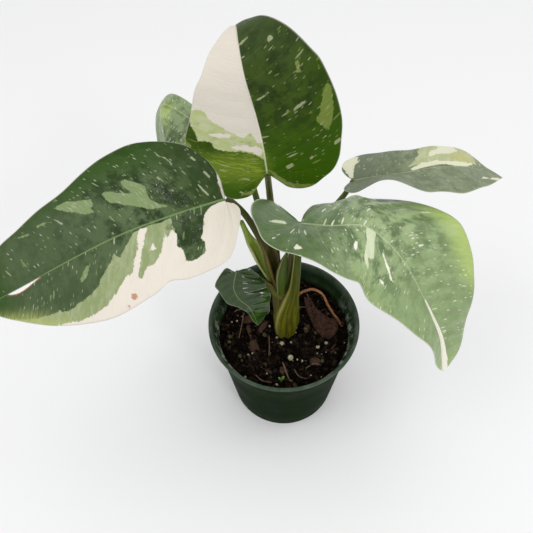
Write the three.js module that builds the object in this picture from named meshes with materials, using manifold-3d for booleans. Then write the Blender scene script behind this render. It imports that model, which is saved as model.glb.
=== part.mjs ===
// Potted white princess philodendron, in millimetres, +Z up.
// The origin is the centre of the pot's base, and the plant shows its face to -Y.
import * as THREE from "three";
import { ConvexGeometry } from "three/addons/geometries/ConvexGeometry.js";
import { mergeVertices } from "three/addons/utils/BufferGeometryUtils.js";
import Module from "manifold-3d";

const wasm = await Module();
wasm.setup();

// A piece that touches its neighbour keeps this gap to it
const SEAT = 0.35;

// Corners lie on this grid, so that a cut leaves no sliver
const GRID = 0.01;

// Nursery pot
const POT = {
  height: 96,
  rimRadius: 54,
  lipWidth: 2.3,
  lipHeight: 2.4,
  collarTop: 52.6,
  collarBottom: 51.4,
  collarHeight: 12,
  bodyRadius: 49.5,
  baseRadius: 41,
  baseBevel: 1.2,
  wall: 1.6,
  floor: 2.4,
  sides: 60,
  drainCount: 6,
  drainRadius: 4,
  drainCircle: 28,
};

// Potting mix: its crown, how far it falls to the wall, and its crumbs
const SOIL = {
  crown: 82,
  fall: 2.2,
  crumb: 0.55,
  rings: 9,
  sides: 36,
  perlite: 18,
  seed: 7,
};

// Blade thickness, and the rib under its middle
const BLADE = {
  thickness: 0.8,
  rib: 1.5,
  ribHalfWidth: 1.8,
  rowLength: 7,
  lobeStep: 9,
  veinSteps: [0.3, 0.58, 0.82, 1],
  veinSweep: 0.5,
};

// One blade each: the midrib in space, the way its face looks at the petiole, and, at even stations
// from petiole to tip, its roll, the rise of each half from the midrib (fold) and its curl over
// 40 mm (bend), in degrees. Outlines run from the petiole round the lobe to the tip: across, along.
const LEAVES = {
  leaf_a_blade: {
    midrib: [[-9, 3, 236], [-11, 2, 256], [-14, 2, 274], [-18, 4, 292], [-20, 12, 302],
      [-21, 23, 304], [-22, 34, 298], [-23, 43, 286]],
    face: [0, -1, 0.1],
    roll: [0],
    fold: { left: [8], right: [8] },
    bend: { left: [-20], right: [-20] },
    left: [[0, 0], [5, -6], [10, -13], [16, -15], [20.5, -14.5], [24, -12], [24.5, -6], [24.5, 1],
      [26, 8], [28.5, 15], [32.5, 22], [36, 28], [34, 35], [29, 44], [22, 55], [17, 62], [11, 70],
      [6.5, 79], [4, 90], [2.5, 100], [0, 109.4]],
    right: [[0, 0], [5, -3], [9, -10], [16, -13], [23, -12], [29, -7], [34, -2], [37, 6], [38, 17],
      [39, 28], [37.5, 41], [34, 56], [30.5, 62], [24, 70], [15, 78.5], [7.5, 88], [3.5, 98.5],
      [0, 109.4]],
    colour: 0x4f7a35,
  },
  leaf_b_blade: {
    midrib: [[-32, 4, 218], [-57, -5.5, 218], [-84, -15, 215], [-108, -24, 209],
      [-143, -32, 193], [-165, -37, 183]],
    face: [-0.1, -0.45, 0.9],
    roll: [0],
    fold: { left: [8], right: [6] },
    bend: { left: [-32], right: [-15] },
    left: [[0, 0], [7, -5], [13, -4], [20, 0], [28, 5], [33, 11], [35, 22], [35, 34], [33, 43],
      [36, 52], [38, 66], [38, 80], [34, 96], [28, 110], [20, 124], [11, 137], [5, 143], [0, 145.9]],
    right: [[0, 0], [8, -2], [17, -2], [26, 1], [34, 8], [40, 16], [46, 30], [48, 40], [46, 51],
      [41, 65], [36, 81], [33, 97], [30, 112], [26, 126], [18, 137], [9, 143], [0, 145.9]],
    colour: 0x3f6b3f,
  },
  leaf_c_blade: {
    midrib: [[8, -8, 210], [23, -13, 213], [41, -14, 213], [53, -19, 206], [64, -28, 196],
      [72, -38, 185], [79, -47, 174], [86, -54, 159], [91, -62, 135]],
    face: [0, 0, 1],
    roll: [0, 6, 24, 26, 25],
    fold: { left: [-8, -6, 4, 5, 5], right: [20, 10, 14, 24, 26] },
    bend: { left: [-45, -46, -6, -12, -12], right: [-20, -20, -20, -10, -10] },
    lift: { right: 2 },
    left: [[0, 0], [7, 1], [14, 2], [22, 3], [30, 6], [36, 12], [40, 22], [43, 36], [45, 50],
      [44, 63], [42, 77], [40, 89], [35, 98], [28.5, 106], [22.5, 114], [18, 122], [14, 130],
      [9, 138], [4, 142.5], [0, 143.2]],
    right: [[0, 0], [-4.3, -4.8], [-10, -12], [-13, -18], [-10, -23], [-2, -25], [7, -23], [15, -18],
      [22, -13], [26, -5], [28, 4], [30, 13], [33, 21], [35, 30], [35, 42], [34, 55], [31.5, 69],
      [26, 83], [19.5, 96.5], [14.5, 108], [12, 120], [7, 134], [0, 143.2]],
    colour: 0x7f9f6a,
  },
  leaf_d_blade: {
    midrib: [[45, 42, 191], [59, 40, 196], [74, 39, 199], [89, 41, 200], [104, 43, 199],
      [119, 45, 195], [140, 45, 186]],
    face: [0, 0.3, 0.95],
    roll: [-5, -2, 6, 11, 13, 15],
    fold: { left: [25, 20, 13, 9, 6, 5], right: [0, 22, 6, 4, 3, 0] },
    bend: { left: [-25], right: [-15] },
    left: [[0, 0], [5, -5], [12, -8], [20, -6], [25, 2], [26, 12], [24, 28], [22, 46], [22, 62],
      [24, 73], [21, 79], [13, 82], [7, 87], [3, 94], [0, 99.3]],
    right: [[0, 0], [5, -4], [12, -5], [18, 0], [21, 8], [23, 17], [25, 28], [27, 38], [28, 47],
      [27, 56], [24, 66], [19, 76], [12, 86], [5, 94], [0, 99.3]],
    colour: 0x6f8a72,
  },
  leaf_e_blade: {
    midrib: [[-22, 38, 214], [-35, 46, 225], [-52, 56, 231], [-64, 63, 235], [-70, 69, 231],
      [-74, 73, 218], [-77, 76, 201], [-79, 78, 182]],
    face: [0.3, -0.8, 0.6],
    roll: [0],
    fold: { left: [0, 0, -10, -20, -20], right: [-40, -40, -10, 40, 50] },
    bend: { left: [-60], right: [-120] },
    left: [[0, 0], [5, -7], [13, -10], [21, -6], [26, 5], [28, 22], [29, 41], [27, 60], [22, 78],
      [13, 96], [5, 109], [0, 114.8]],
    right: [[0, 0], [5, -7], [13, -10], [19, -6], [20, 5], [17, 22], [13, 38], [10, 53], [9, 65],
      [9, 79], [6, 96], [4, 109], [0, 114.8]],
    colour: 0x5c7f4a,
  },
  leaf_f_blade: {
    midrib: [[-30, -2, 158], [-32, -8, 150], [-29, -12, 143], [-23.5, -14.5, 138],
      [-20, -15.5, 127.5], [-18, -16, 116.5]],
    face: [0.25, -0.6, 0.75],
    roll: [0],
    chord: 14,
    fold: { left: [5], right: [0] },
    bend: { left: [-30], right: [-60, -260] },
    left: [[0, 0], [3, -2], [8, -3], [11, -1], [15, 3], [19, 10], [20, 17], [17, 26], [15, 32],
      [11, 39], [5, 46], [0, 49.2]],
    right: [[0, 0], [2, -1], [6, -3], [9, 0], [12, 6], [10, 10], [8, 16], [7, 20], [5, 25],
      [3, 30], [2.5, 36], [2, 42], [1, 46.5], [0, 49.2]],
    colour: 0x3c6a34,
  },
};

// Stalks: the route with a radius at each point. A channelled one is open by a share of its
// width along "open", towards "toward", and its wall there is "wall" thick.
const STALKS = {
  stem: {
    route: [[0.5, 3, 58], [0.5, 2.5, 82], [-1, 1.5, 105], [-2.5, 0, 128], [-3.2, -1.2, 142]],
    radius: [5.5, 6, 6, 5.6, 4.6],
    sides: 14,
    colour: 0x5f6b35,
  },
  leaf_c_petiole: {
    route: [[1.3, -0.5, 81], [1.5, -0.8, 95], [2.2, -1.8, 112], [4, -3.4, 128], [6.2, -4.6, 146],
      [7, -5.5, 165], [7.4, -6.2, 182], [7.8, -7.4, 198], [7.6, -7.7, 207.4]],
    radius: [7.4, 8.8, 7.8, 5.6, 3.6, 3, 2.5, 2.1, 1.7],
    sides: 14,
    colour: 0x77803a,
  },
  leaf_a_petiole: {
    blade: "leaf_a_blade",
    route: [[-3.6, 1.8, 140], [-4.6, 3.6, 158], [-5.6, 7, 176], [-6.8, 10.6, 194],
      [-7.8, 12.2, 211], [-8.5, 8.8, 225], [-8.9, 3.5, 235.2]],
    radius: [3, 2.8, 2.5, 2.2, 2, 1.8, 1.7],
    sides: 10,
    colour: 0x5d7a34,
  },
  young_sheath_front: {
    route: [[-2.6, -6.2, 141], [-2.4, -6.8, 153], [-2, -7.2, 165], [-0.6, -6.8, 175],
      [1.2, -6.2, 181.5]],
    radius: [2.4, 3, 3.3, 2.4, 0.8],
    sides: 10,
    colour: 0x50702f,
  },
  young_sheath_back: {
    route: [[1.5, -0.5, 141], [2.6, -0.8, 155], [3.6, -1.4, 170], [4.2, -2, 184]],
    radius: [2.4, 2.6, 1.8, 0.7],
    sides: 10,
    colour: 0x6a7434,
  },
  leaf_d_petiole: {
    blade: "leaf_d_blade",
    route: [[0.5, 3.4, 138], [6, 8, 158], [16, 15, 172], [27, 22.5, 181], [37, 31, 187.5],
      [42, 37.5, 189.5], [44.3, 41.4, 190.6]],
    radius: [2.8, 2.6, 2.2, 2, 1.8, 1.7, 1.6],
    sides: 10,
    colour: 0x5d7a34,
  },
  leaf_e_petiole: {
    blade: "leaf_e_blade",
    route: [[-4, 4, 138], [-8, 11, 158], [-12.5, 21, 180], [-17.5, 31, 200], [-21.5, 37.4, 213.2]],
    radius: [2.8, 2.5, 2.1, 1.9, 1.6],
    sides: 10,
    colour: 0x5d7a34,
  },
  leaf_f_petiole: {
    blade: "leaf_f_blade",
    route: [[-2.4, -4.4, 133.5], [-5.7, -4.1, 138.7], [-9.5, -2.5, 141.6], [-13.9, -0.2, 143.8],
      [-18.6, 0.9, 147.1], [-22.9, 1.4, 150.9], [-26.8, 0.9, 154.4], [-29.6, -1.2, 157.4]],
    radius: [2.8, 3.1, 3.1, 2.5, 1.9, 1.5, 1.3, 1.1],
    sides: 12,
    colour: 0x6d7a3a,
  },
  leaf_b_petiole: {
    blade: "leaf_b_blade",
    route: [[-4, -1.6, 134], [-4.5, -2.6, 150], [-5.8, -3.6, 165], [-8.4, -3.5, 180],
      [-15.5, -2, 196], [-22, 0.5, 209], [-28, 2.8, 216], [-31.2, 3.7, 217.3]],
    radius: [2.8, 3.4, 4.7, 5.5, 3.7, 2.2, 1.8, 1.6],
    open: [0, 0.4, 0.9, 1, 0.7, 0.1, 0, 0],
    wall: 1.6,
    toward: [0.8, -0.5, 0.3],
    sides: 16,
    colour: 0x5a5a2c,
  },
  leaf_b_sheath: {
    route: [[-4.3, 0.6, 132.5], [-7.6, 1.5, 141.5], [-10.4, 1.6, 149.5], [-13.5, 1.4, 162.5],
      [-16.4, 1, 176], [-20.2, 0.8, 187], [-24.2, 1, 202.4]],
    radius: [2.2, 1.9, 2.5, 3.7, 3.8, 2.1, 1.3],
    open: [0, 0.3, 0.8, 1, 1, 0.3, 0],
    wall: 1.3,
    toward: [0.6, -0.7, 0.3],
    sides: 14,
    colour: 0x5f8a2e,
  },
  aerial_root: {
    route: [[4, 7.5, 108], [11, 9.4, 114.2], [15.3, 11, 115.6], [20.3, 12, 115.8],
      [24.6, 11.8, 113.8], [28.8, 11, 108.4], [31.6, 9.4, 100.8], [36.6, 7.2, 90.6],
      [41.2, 4.2, 84], [44.4, 0.8, 78]],
    radius: [1.3, 1.2, 1.1, 1.1, 1.1, 1.1, 1, 1, 1, 0.9],
    sides: 8,
    colour: 0xa8552a,
  },
};

// Bark chip that leans on the mix behind the stem, as its outline on the chip's own slope
const CHIP = {
  outline: [[16, 21], [17.5, 12], [21, 2.6], [26, -6], [32, -9.5], [36.5, -7.5], [39.5, -3],
    [38.4, 4], [33.6, 5.4], [29.5, 9], [24.5, 14], [21, 19.5]],
  thickness: 3,
  low: 81.6,
  rise: 0.26,
  restY: -8,
  colour: 0x6a4334,
};

// Two-leaf seedling at the front of the mix
const SEEDLING = {
  foot: [-3.4, -41.2, 78],
  height: 6,
  leafLength: 4.2,
  leafWidth: 2.2,
  thickness: 0.8,
  stalk: 0.7,
  colour: 0x6f9a3a,
};

const material = (colour, roughness = 0.5) =>
  new THREE.MeshStandardMaterial({ color: colour, roughness, metalness: 0 });

// Puts corners on a fine grid, joins shared ones, drops flat triangles and turns the faces outward
function tidy(geometry) {
  const plain = geometry.clone();
  plain.deleteAttribute("normal");
  plain.deleteAttribute("uv");
  const corner = plain.getAttribute("position").array;
  corner.forEach((value, k) => {
    corner[k] = Math.round(value / GRID) * GRID;
  });
  const welded = mergeVertices(plain, 1e-3);
  const place = welded.getAttribute("position");
  const index = welded.index.array;
  const corners = [0, 1, 2].map(() => new THREE.Vector3());
  const kept = [];
  let volume = 0;
  for (let k = 0; k < index.length; k += 3) {
    const [a, b, c] = [index[k], index[k + 1], index[k + 2]];
    if (a === b || b === c || c === a) continue;
    [a, b, c].forEach((v, n) => corners[n].fromBufferAttribute(place, v));
    volume += corners[0].dot(corners[1].clone().cross(corners[2]));
    kept.push(a, b, c);
  }
  if (volume < 0) kept.reverse();
  const result = new THREE.BufferGeometry();
  result.setAttribute("position", place);
  result.setIndex(kept);
  return result;
}

function toManifold(geometry) {
  const solid = tidy(geometry);
  return new wasm.Manifold(new wasm.Mesh({
    numProp: 3,
    vertProperties: new Float32Array(solid.getAttribute("position").array),
    triVerts: new Uint32Array(solid.index.array),
  }));
}

function largestBody(manifold) {
  const bodies = manifold.decompose();
  return bodies.reduce((a, b) => (a.volume() > b.volume() ? a : b));
}

// The largest body that a cut leaves, without the slivers beside it
function toGeometry(manifold) {
  let body = manifold.simplify(0.05);
  const geometry = new THREE.BufferGeometry();
  for (let pass = 0; pass < 2; pass += 1) {
    const mesh = largestBody(body).getMesh();
    geometry.setAttribute("position", new THREE.BufferAttribute(mesh.vertProperties, 3));
    geometry.setIndex(new THREE.BufferAttribute(mesh.triVerts, 1));
    body = toManifold(geometry);
  }
  return geometry;
}

function seededRandom(seed) {
  let state = seed;
  return () => {
    state = (state * 1664525 + 1013904223) % 4294967296;
    return state / 4294967296;
  };
}

const smoothstep = (x) => x * x * (3 - 2 * x);

// Value at a share of the length, eased between even stations
function atShare(stations, share) {
  const last = stations.length - 1;
  if (last === 0) return stations[0];
  const x = Math.min(Math.max(share, 0), 1) * last;
  const k = Math.min(Math.floor(x), last - 1);
  return THREE.MathUtils.lerp(stations[k], stations[k + 1], smoothstep(x - k));
}

// Points along a spline that passes through the given points
function splinePoints(points, perSpan) {
  const curve = new THREE.CatmullRomCurve3(points, false, "catmullrom", 0.5);
  return curve.getPoints((points.length - 1) * perSpan);
}

function runningLength(points) {
  const length = [0];
  for (let k = 1; k < points.length; k += 1) {
    length.push(length[k - 1] + points[k].distanceTo(points[k - 1]));
  }
  return length;
}

function atLength(points, length, wanted) {
  let k = 1;
  while (k < length.length - 1 && length[k] < wanted) k += 1;
  const share = (wanted - length[k - 1]) / (length[k] - length[k - 1]);
  return points[k - 1].clone().lerp(points[k], Math.min(Math.max(share, 0), 1));
}

// The blade's surface: maps a place across and along the flat blade into space
function bladeSurface(leaf) {
  const spine = splinePoints(leaf.midrib.map((p) => new THREE.Vector3(...p)), 30);
  const length = runningLength(spine);
  const total = length[length.length - 1];
  const chord = leaf.chord ?? 18;
  const ahead = length.map((at) => {
    const fore = atLength(spine, length, Math.min(at + chord, total));
    return fore.sub(atLength(spine, length, Math.max(at - chord, 0))).normalize();
  });
  let facing = new THREE.Vector3(...leaf.face);
  const faces = ahead.map((t) => {
    facing = facing.clone().addScaledVector(t, -facing.dot(t)).normalize();
    return facing;
  });
  const radians = THREE.MathUtils.degToRad;
  const surface = {
    total,
    point(side, across, along) {
      const at = Math.min(Math.max(along, 0), total);
      const share = at / total;
      const place = atLength(spine, length, at);
      const forward = atLength(ahead, length, at).normalize();
      const up = atLength(faces, length, at).normalize();
      if (along < 0) place.addScaledVector(ahead[0], along);
      const roll = radians(atShare(leaf.roll, share));
      const out = forward.clone().cross(up).applyAxisAngle(forward, roll);
      up.applyAxisAngle(forward, roll);
      const half = side < 0 ? "left" : "right";
      const fold = radians(atShare(leaf.fold[half], share));
      const curl = radians(atShare(leaf.bend[half], share)) / 40;
      const run = (Math.sin(fold + curl * across) - Math.sin(fold)) / curl;
      const lift = (leaf.lift?.[half] ?? 0) * (Math.min(along, 0) / 10) ** 2;
      const rise = (Math.cos(fold) - Math.cos(fold + curl * across)) / curl + lift;
      return place.addScaledVector(out, side * run).addScaledVector(up, rise);
    },
    normal(side, across, along) {
      const reach = 0.4;
      const here = surface.point(side, across, along);
      const width = surface.point(side, across + reach, along).sub(here);
      const forward = surface.point(side, across, along + reach).sub(here);
      return width.cross(forward).multiplyScalar(side).normalize();
    },
  };
  return surface;
}

// Margin points of a half blade, with the place on the midrib that each one's vein leaves
function marginRows(outline, total, rows) {
  const line = splinePoints(outline.map(([x, y]) => new THREE.Vector3(x, y, 0)), 12);
  let reached = 0;
  const roots = line.map((p) => {
    reached = Math.max(reached, Math.min(p.y - BLADE.veinSweep * Math.abs(p.x), total));
    return reached;
  });
  roots[roots.length - 1] = total;
  const length = runningLength(line);
  const first = roots.findIndex((r) => r > 0) - 1;
  const result = [];
  const lobeRows = Math.ceil(length[first] / BLADE.lobeStep);
  for (let k = 0; k <= lobeRows; k += 1) {
    const edge = atLength(line, length, (length[first] * k) / lobeRows);
    result.push({ edge, root: 0 });
  }
  for (let k = 1; k <= rows; k += 1) {
    const root = (total * k) / rows;
    let n = first + 1;
    while (n < roots.length - 1 && roots[n] < root) n += 1;
    const share = (root - roots[n - 1]) / Math.max(roots[n] - roots[n - 1], 1e-6);
    result.push({ edge: line[n - 1].clone().lerp(line[n], Math.min(share, 1)), root });
  }
  return result;
}

// Closed thin blade, split alike on both faces, with a tapering rib below the midrib
function bladeGeometry(leaf) {
  const surface = bladeSurface(leaf);
  const rows = Math.round(surface.total / BLADE.rowLength);
  const positions = [];
  const index = [];
  const addPair = (top, normal, thick) => {
    positions.push(...top.toArray(), ...top.clone().addScaledVector(normal, -thick).toArray());
    return positions.length / 6 - 1;
  };
  const ribPairs = [...Array(rows + 1).keys()].map((k) => {
    const along = (surface.total * k) / rows;
    const normal = surface.normal(-1, 0, along).add(surface.normal(1, 0, along)).normalize();
    const thick = BLADE.thickness + BLADE.rib * (1 - (0.8 * k) / rows);
    return addPair(surface.point(1, 0, along), normal, thick);
  });
  const grids = [-1, 1].map((side) => {
    const margin = marginRows(side < 0 ? leaf.left : leaf.right, surface.total, rows);
    return margin.map(({ edge, root }) => {
      const ribPair = ribPairs[Math.round((rows * root) / surface.total)];
      const rib = Math.min(BLADE.ribHalfWidth / Math.max(Math.abs(edge.x), 0.1), 0.15);
      const steps = [rib, ...BLADE.veinSteps];
      if (Math.abs(edge.x) < 1e-6) return [ribPair, ...steps.map(() => ribPair)];
      return [ribPair, ...steps.map((step) => {
        const bow = root + (0.5 - 0.25 * THREE.MathUtils.clamp(edge.x / 15, 0, 1)) * (edge.y - root);
        const across = (step * (1 - step) + step * step) * edge.x;
        const along = (1 - step) ** 2 * root + 2 * step * (1 - step) * bow + step * step * edge.y;
        const normal = surface.normal(side, across, along);
        return addPair(surface.point(side, across, along), normal, BLADE.thickness);
      })];
    });
  });
  const quad = (a, b, c, d) => index.push(a, b, c, a, c, d);
  grids.forEach((grid, half) => {
    for (let i = 0; i + 1 < grid.length; i += 1) {
      const [near, far] = half === 0 ? [grid[i + 1], grid[i]] : [grid[i], grid[i + 1]];
      const edge = near.length - 1;
      for (let j = 0; j < edge; j += 1) {
        const corners = [near[j], near[j + 1], far[j + 1], far[j]].map((v) => 2 * v);
        quad(...corners);
        quad(...corners.reverse().map((v) => v + 1));
      }
      quad(2 * near[edge], 2 * near[edge] + 1, 2 * far[edge] + 1, 2 * far[edge]);
    }
  });
  const geometry = new THREE.BufferGeometry();
  geometry.setAttribute("position", new THREE.Float32BufferAttribute(positions, 3));
  geometry.setIndex(index);
  return geometry;
}

// Plain blocks that hold each half of a blade near its petiole, with the gap round it
function bladeCutters(leaf) {
  const surface = bladeSurface(leaf);
  return [-1, 1].map((side) => {
    const [x, y] = (side < 0 ? leaf.left : leaf.right)[1];
    const near = [[0, -SEAT], [x - SEAT, y - SEAT], [8, 0], [8, 6], [0, 6]];
    const points = near.flatMap((place) => {
      const normal = surface.normal(side, ...place);
      const top = surface.point(side, ...place).addScaledVector(normal, SEAT);
      const under = top.clone().addScaledVector(normal, -BLADE.thickness - BLADE.rib - 2 * SEAT);
      return [top, under];
    });
    return toManifold(new ConvexGeometry(points));
  });
}

// Swept stalk whose section narrows, and opens into a channel where asked. Grown, it is a cutter
// for its neighbours, and full.
function stalkGeometry(stalk, grow = 0) {
  const perSpan = stalk.perSpan ?? 2;
  const centres = splinePoints(stalk.route.map((p) => new THREE.Vector3(...p)), perSpan);
  const last = centres.length - 1;
  const spans = stalk.route.length - 1;
  const positions = [];
  const index = [];
  let side = new THREE.Vector3(...(stalk.toward ?? [0, -1, 0]));
  centres.forEach((centre, k) => {
    const forward = centres[Math.min(k + 1, last)].clone()
      .sub(centres[Math.max(k - 1, 0)]).normalize();
    side = side.clone().addScaledVector(forward, -side.dot(forward)).normalize();
    const across = forward.clone().cross(side);
    const share = k / (spans * perSpan);
    const radius = atShare(stalk.radius, share) + grow;
    const open = stalk.open && grow === 0 ? atShare(stalk.open, share) : 0;
    const inner = Math.max(radius - (stalk.wall ?? 1), 0.2);
    for (let n = 0; n < stalk.sides; n += 1) {
      const angle = (2 * Math.PI * n) / stalk.sides;
      let [x, y] = [radius * Math.cos(angle), radius * Math.sin(angle)];
      if (Math.sin(angle) > 1e-6) {
        x = THREE.MathUtils.lerp(x, inner * Math.cos(angle), open);
        y = THREE.MathUtils.lerp(y, -inner * Math.sin(angle), open);
      }
      const point = centre.clone().addScaledVector(across, x).addScaledVector(side, y);
      if (grow > 0 && (k === 0 || k === last)) point.addScaledVector(forward, k === 0 ? -grow : grow);
      positions.push(...point.toArray());
    }
  });
  for (let k = 0; k < last; k += 1) {
    for (let n = 0; n < stalk.sides; n += 1) {
      const m = (n + 1) % stalk.sides;
      const [a, b] = [k * stalk.sides + n, k * stalk.sides + m];
      index.push(a, b, b + stalk.sides, a, b + stalk.sides, a + stalk.sides);
    }
  }
  for (const start of [0, last * stalk.sides]) {
    for (let n = 1; n + 1 < stalk.sides; n += 1) {
      const fan = [start, start + n, start + n + 1];
      index.push(...(start === 0 ? fan.reverse() : fan));
    }
  }
  const geometry = new THREE.BufferGeometry();
  geometry.setAttribute("position", new THREE.Float32BufferAttribute(positions, 3));
  geometry.setIndex(index);
  return geometry;
}

function potGeometry() {
  const lipInner = POT.rimRadius - POT.lipWidth;
  const collarFoot = POT.height - POT.collarHeight;
  const wallFoot = POT.baseRadius - POT.wall;
  const profile = [
    [0, 0],
    [POT.baseRadius - POT.baseBevel, 0],
    [POT.baseRadius, POT.baseBevel],
    [POT.bodyRadius, collarFoot - 1],
    [POT.collarBottom, collarFoot],
    [POT.collarTop, POT.height - POT.lipHeight - 0.6],
    [POT.rimRadius, POT.height - POT.lipHeight],
    [POT.rimRadius, POT.height - 0.6],
    [POT.rimRadius - 0.6, POT.height],
    [lipInner + 0.5, POT.height],
    [lipInner, POT.height - 0.8],
    [POT.collarBottom - POT.wall, collarFoot + POT.wall],
    [POT.bodyRadius - POT.wall, collarFoot],
    [wallFoot, POT.floor],
    [0, POT.floor],
  ];
  const body = new THREE.LatheGeometry(profile.map(([r, z]) => new THREE.Vector2(r, z)), POT.sides);
  body.rotateX(Math.PI / 2);
  let pot = toManifold(body);
  for (let k = 0; k < POT.drainCount; k += 1) {
    const angle = (2 * Math.PI * (k + 0.5)) / POT.drainCount;
    const drain = new THREE.CylinderGeometry(POT.drainRadius, POT.drainRadius, 4 * POT.floor, 16);
    drain.rotateX(Math.PI / 2);
    drain.translate(POT.drainCircle * Math.cos(angle), POT.drainCircle * Math.sin(angle), 0);
    pot = pot.subtract(toManifold(drain));
  }
  return toGeometry(pot);
}

function soilHeight(x, y) {
  const r = Math.hypot(x, y) / POT.bodyRadius;
  const crumbs = Math.sin(x / 2.9 + 1.3) * Math.cos(y / 2.6 + 0.4) + 0.7 * Math.sin((x + y) / 1.7);
  return SOIL.crown - SOIL.fall * r * r + SOIL.crumb * crumbs;
}

// Mix up to a height above its own surface, which also cuts what rests on it
function soilGeometry(raised = 0) {
  const gap = POT.wall + SEAT;
  const slope = (POT.bodyRadius - POT.baseRadius) / (POT.height - POT.collarHeight);
  const edge = POT.baseRadius - gap + slope * (SOIL.crown - SOIL.fall);
  const floor = POT.floor + SEAT;
  const positions = [0, 0, soilHeight(0, 0) + raised];
  const index = [];
  for (let ring = 1; ring <= SOIL.rings; ring += 1) {
    const r = edge * (ring / SOIL.rings);
    for (let n = 0; n < SOIL.sides; n += 1) {
      const angle = (2 * Math.PI * n) / SOIL.sides;
      const [x, y] = [r * Math.cos(angle), r * Math.sin(angle)];
      positions.push(x, y, (ring === SOIL.rings ? SOIL.crown - SOIL.fall : soilHeight(x, y)) + raised);
    }
  }
  const foot = POT.baseRadius - gap;
  for (let n = 0; n < SOIL.sides; n += 1) {
    const angle = (2 * Math.PI * n) / SOIL.sides;
    positions.push(foot * Math.cos(angle), foot * Math.sin(angle), floor);
  }
  positions.push(0, 0, floor);
  const row = (ring, n) => 1 + ring * SOIL.sides + (n % SOIL.sides);
  const bottom = positions.length / 3 - 1;
  for (let n = 0; n < SOIL.sides; n += 1) {
    index.push(0, row(0, n), row(0, n + 1));
    for (let ring = 0; ring < SOIL.rings; ring += 1) {
      const [a, b, c, d] = [row(ring, n), row(ring + 1, n), row(ring + 1, n + 1), row(ring, n + 1)];
      index.push(a, b, c, a, c, d);
    }
    index.push(bottom, row(SOIL.rings, n + 1), row(SOIL.rings, n));
  }
  const geometry = new THREE.BufferGeometry();
  geometry.setAttribute("position", new THREE.Float32BufferAttribute(positions, 3));
  geometry.setIndex(index);
  return geometry;
}

// The mix with its perlite lumps, and a plain hole for the stem and its base sheath
function plantedSoil() {
  const random = seededRandom(SOIL.seed);
  let soil = toManifold(soilGeometry());
  for (let k = 0; k < SOIL.perlite; k += 1) {
    const angle = 2 * Math.PI * random();
    const r = 14 + 28 * Math.sqrt(random());
    const size = 1 + 0.9 * random();
    const [x, y] = [r * Math.cos(angle), r * Math.sin(angle)];
    const lump = new THREE.IcosahedronGeometry(size, 0);
    lump.rotateX(6 * random());
    lump.rotateZ(6 * random());
    lump.translate(x, y, soilHeight(x, y) + 0.1 * size);
    soil = soil.add(toManifold(lump));
  }
  for (const name of ["stem", "leaf_c_petiole"]) {
    soil = soil.subtract(toManifold(stalkGeometry(STALKS[name], SEAT)));
  }
  return toGeometry(soil);
}

function chipGeometry() {
  const shape = new THREE.Shape(CHIP.outline.map(([x, y]) => new THREE.Vector2(x, y)));
  const chip = new THREE.ExtrudeGeometry(shape, {
    depth: CHIP.thickness,
    steps: 1,
    bevelEnabled: true,
    bevelThickness: 0.5,
    bevelSize: 0.6,
    bevelOffset: -0.6,
    bevelSegments: 1,
  });
  const place = chip.getAttribute("position");
  for (let k = 0; k < place.count; k += 1) {
    const [x, y] = [place.getX(k), place.getY(k)];
    const hollow = 0.03 * (x - 26) ** 2 * 0.35;
    place.setZ(k, place.getZ(k) + CHIP.low + CHIP.rise * (y - CHIP.restY) + hollow);
  }
  return chip;
}

function seedlingGeometry() {
  const [x, y, z] = SEEDLING.foot;
  const top = z + SEEDLING.height;
  const stalk = new THREE.CylinderGeometry(SEEDLING.stalk, SEEDLING.stalk, SEEDLING.height, 8);
  stalk.rotateX(Math.PI / 2);
  stalk.translate(x, y, z + SEEDLING.height / 2);
  let seedling = toManifold(stalk);
  for (const side of [-1, 1]) {
    const leaf = new THREE.SphereGeometry(1, 10, 6);
    leaf.scale(SEEDLING.leafLength / 2, SEEDLING.leafWidth / 2, SEEDLING.thickness / 2);
    leaf.rotateY(-side * 0.35);
    leaf.translate(x + (side * SEEDLING.leafLength) / 2.4, y, top + 0.5);
    seedling = seedling.add(toManifold(leaf));
  }
  return seedling.subtract(toManifold(soilGeometry(SEAT)));
}

// Each stalk is cut by the ones before it, so that bases clasp and nothing crosses
function cutStalks() {
  const cutters = [];
  const result = {};
  const onSoil = toManifold(soilGeometry(SEAT));
  for (const [name, stalk] of Object.entries(STALKS)) {
    let body = toManifold(stalkGeometry(stalk));
    for (const cutter of cutters) body = body.subtract(cutter);
    if (name === "aerial_root") body = body.subtract(onSoil);
    if (stalk.blade) {
      for (const cutter of bladeCutters(LEAVES[stalk.blade])) body = body.subtract(cutter);
    }
    result[name] = toGeometry(body);
    cutters.push(toManifold(stalkGeometry(stalk, SEAT)));
  }
  return result;
}

const plant = new THREE.Group();

function addPiece(name, geometry, colour, roughness) {
  const mesh = new THREE.Mesh(tidy(geometry), material(colour, roughness));
  mesh.name = name;
  plant.add(mesh);
}

addPiece("pot", potGeometry(), 0x22331f, 0.45);
addPiece("soil", plantedSoil(), 0x241a14, 0.95);
for (const [name, geometry] of Object.entries(cutStalks())) {
  addPiece(name, geometry, STALKS[name].colour, 0.4);
}
for (const [name, leaf] of Object.entries(LEAVES)) {
  addPiece(name, bladeGeometry(leaf), leaf.colour, 0.35);
}
addPiece("bark_chip", toGeometry(toManifold(chipGeometry()).subtract(toManifold(soilGeometry(SEAT)))),
  CHIP.colour, 0.9);
addPiece("seedling", toGeometry(seedlingGeometry()), SEEDLING.colour, 0.5);

export default plant;
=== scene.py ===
import math

import bpy
import numpy as np
from mathutils import Matrix, Vector


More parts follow.
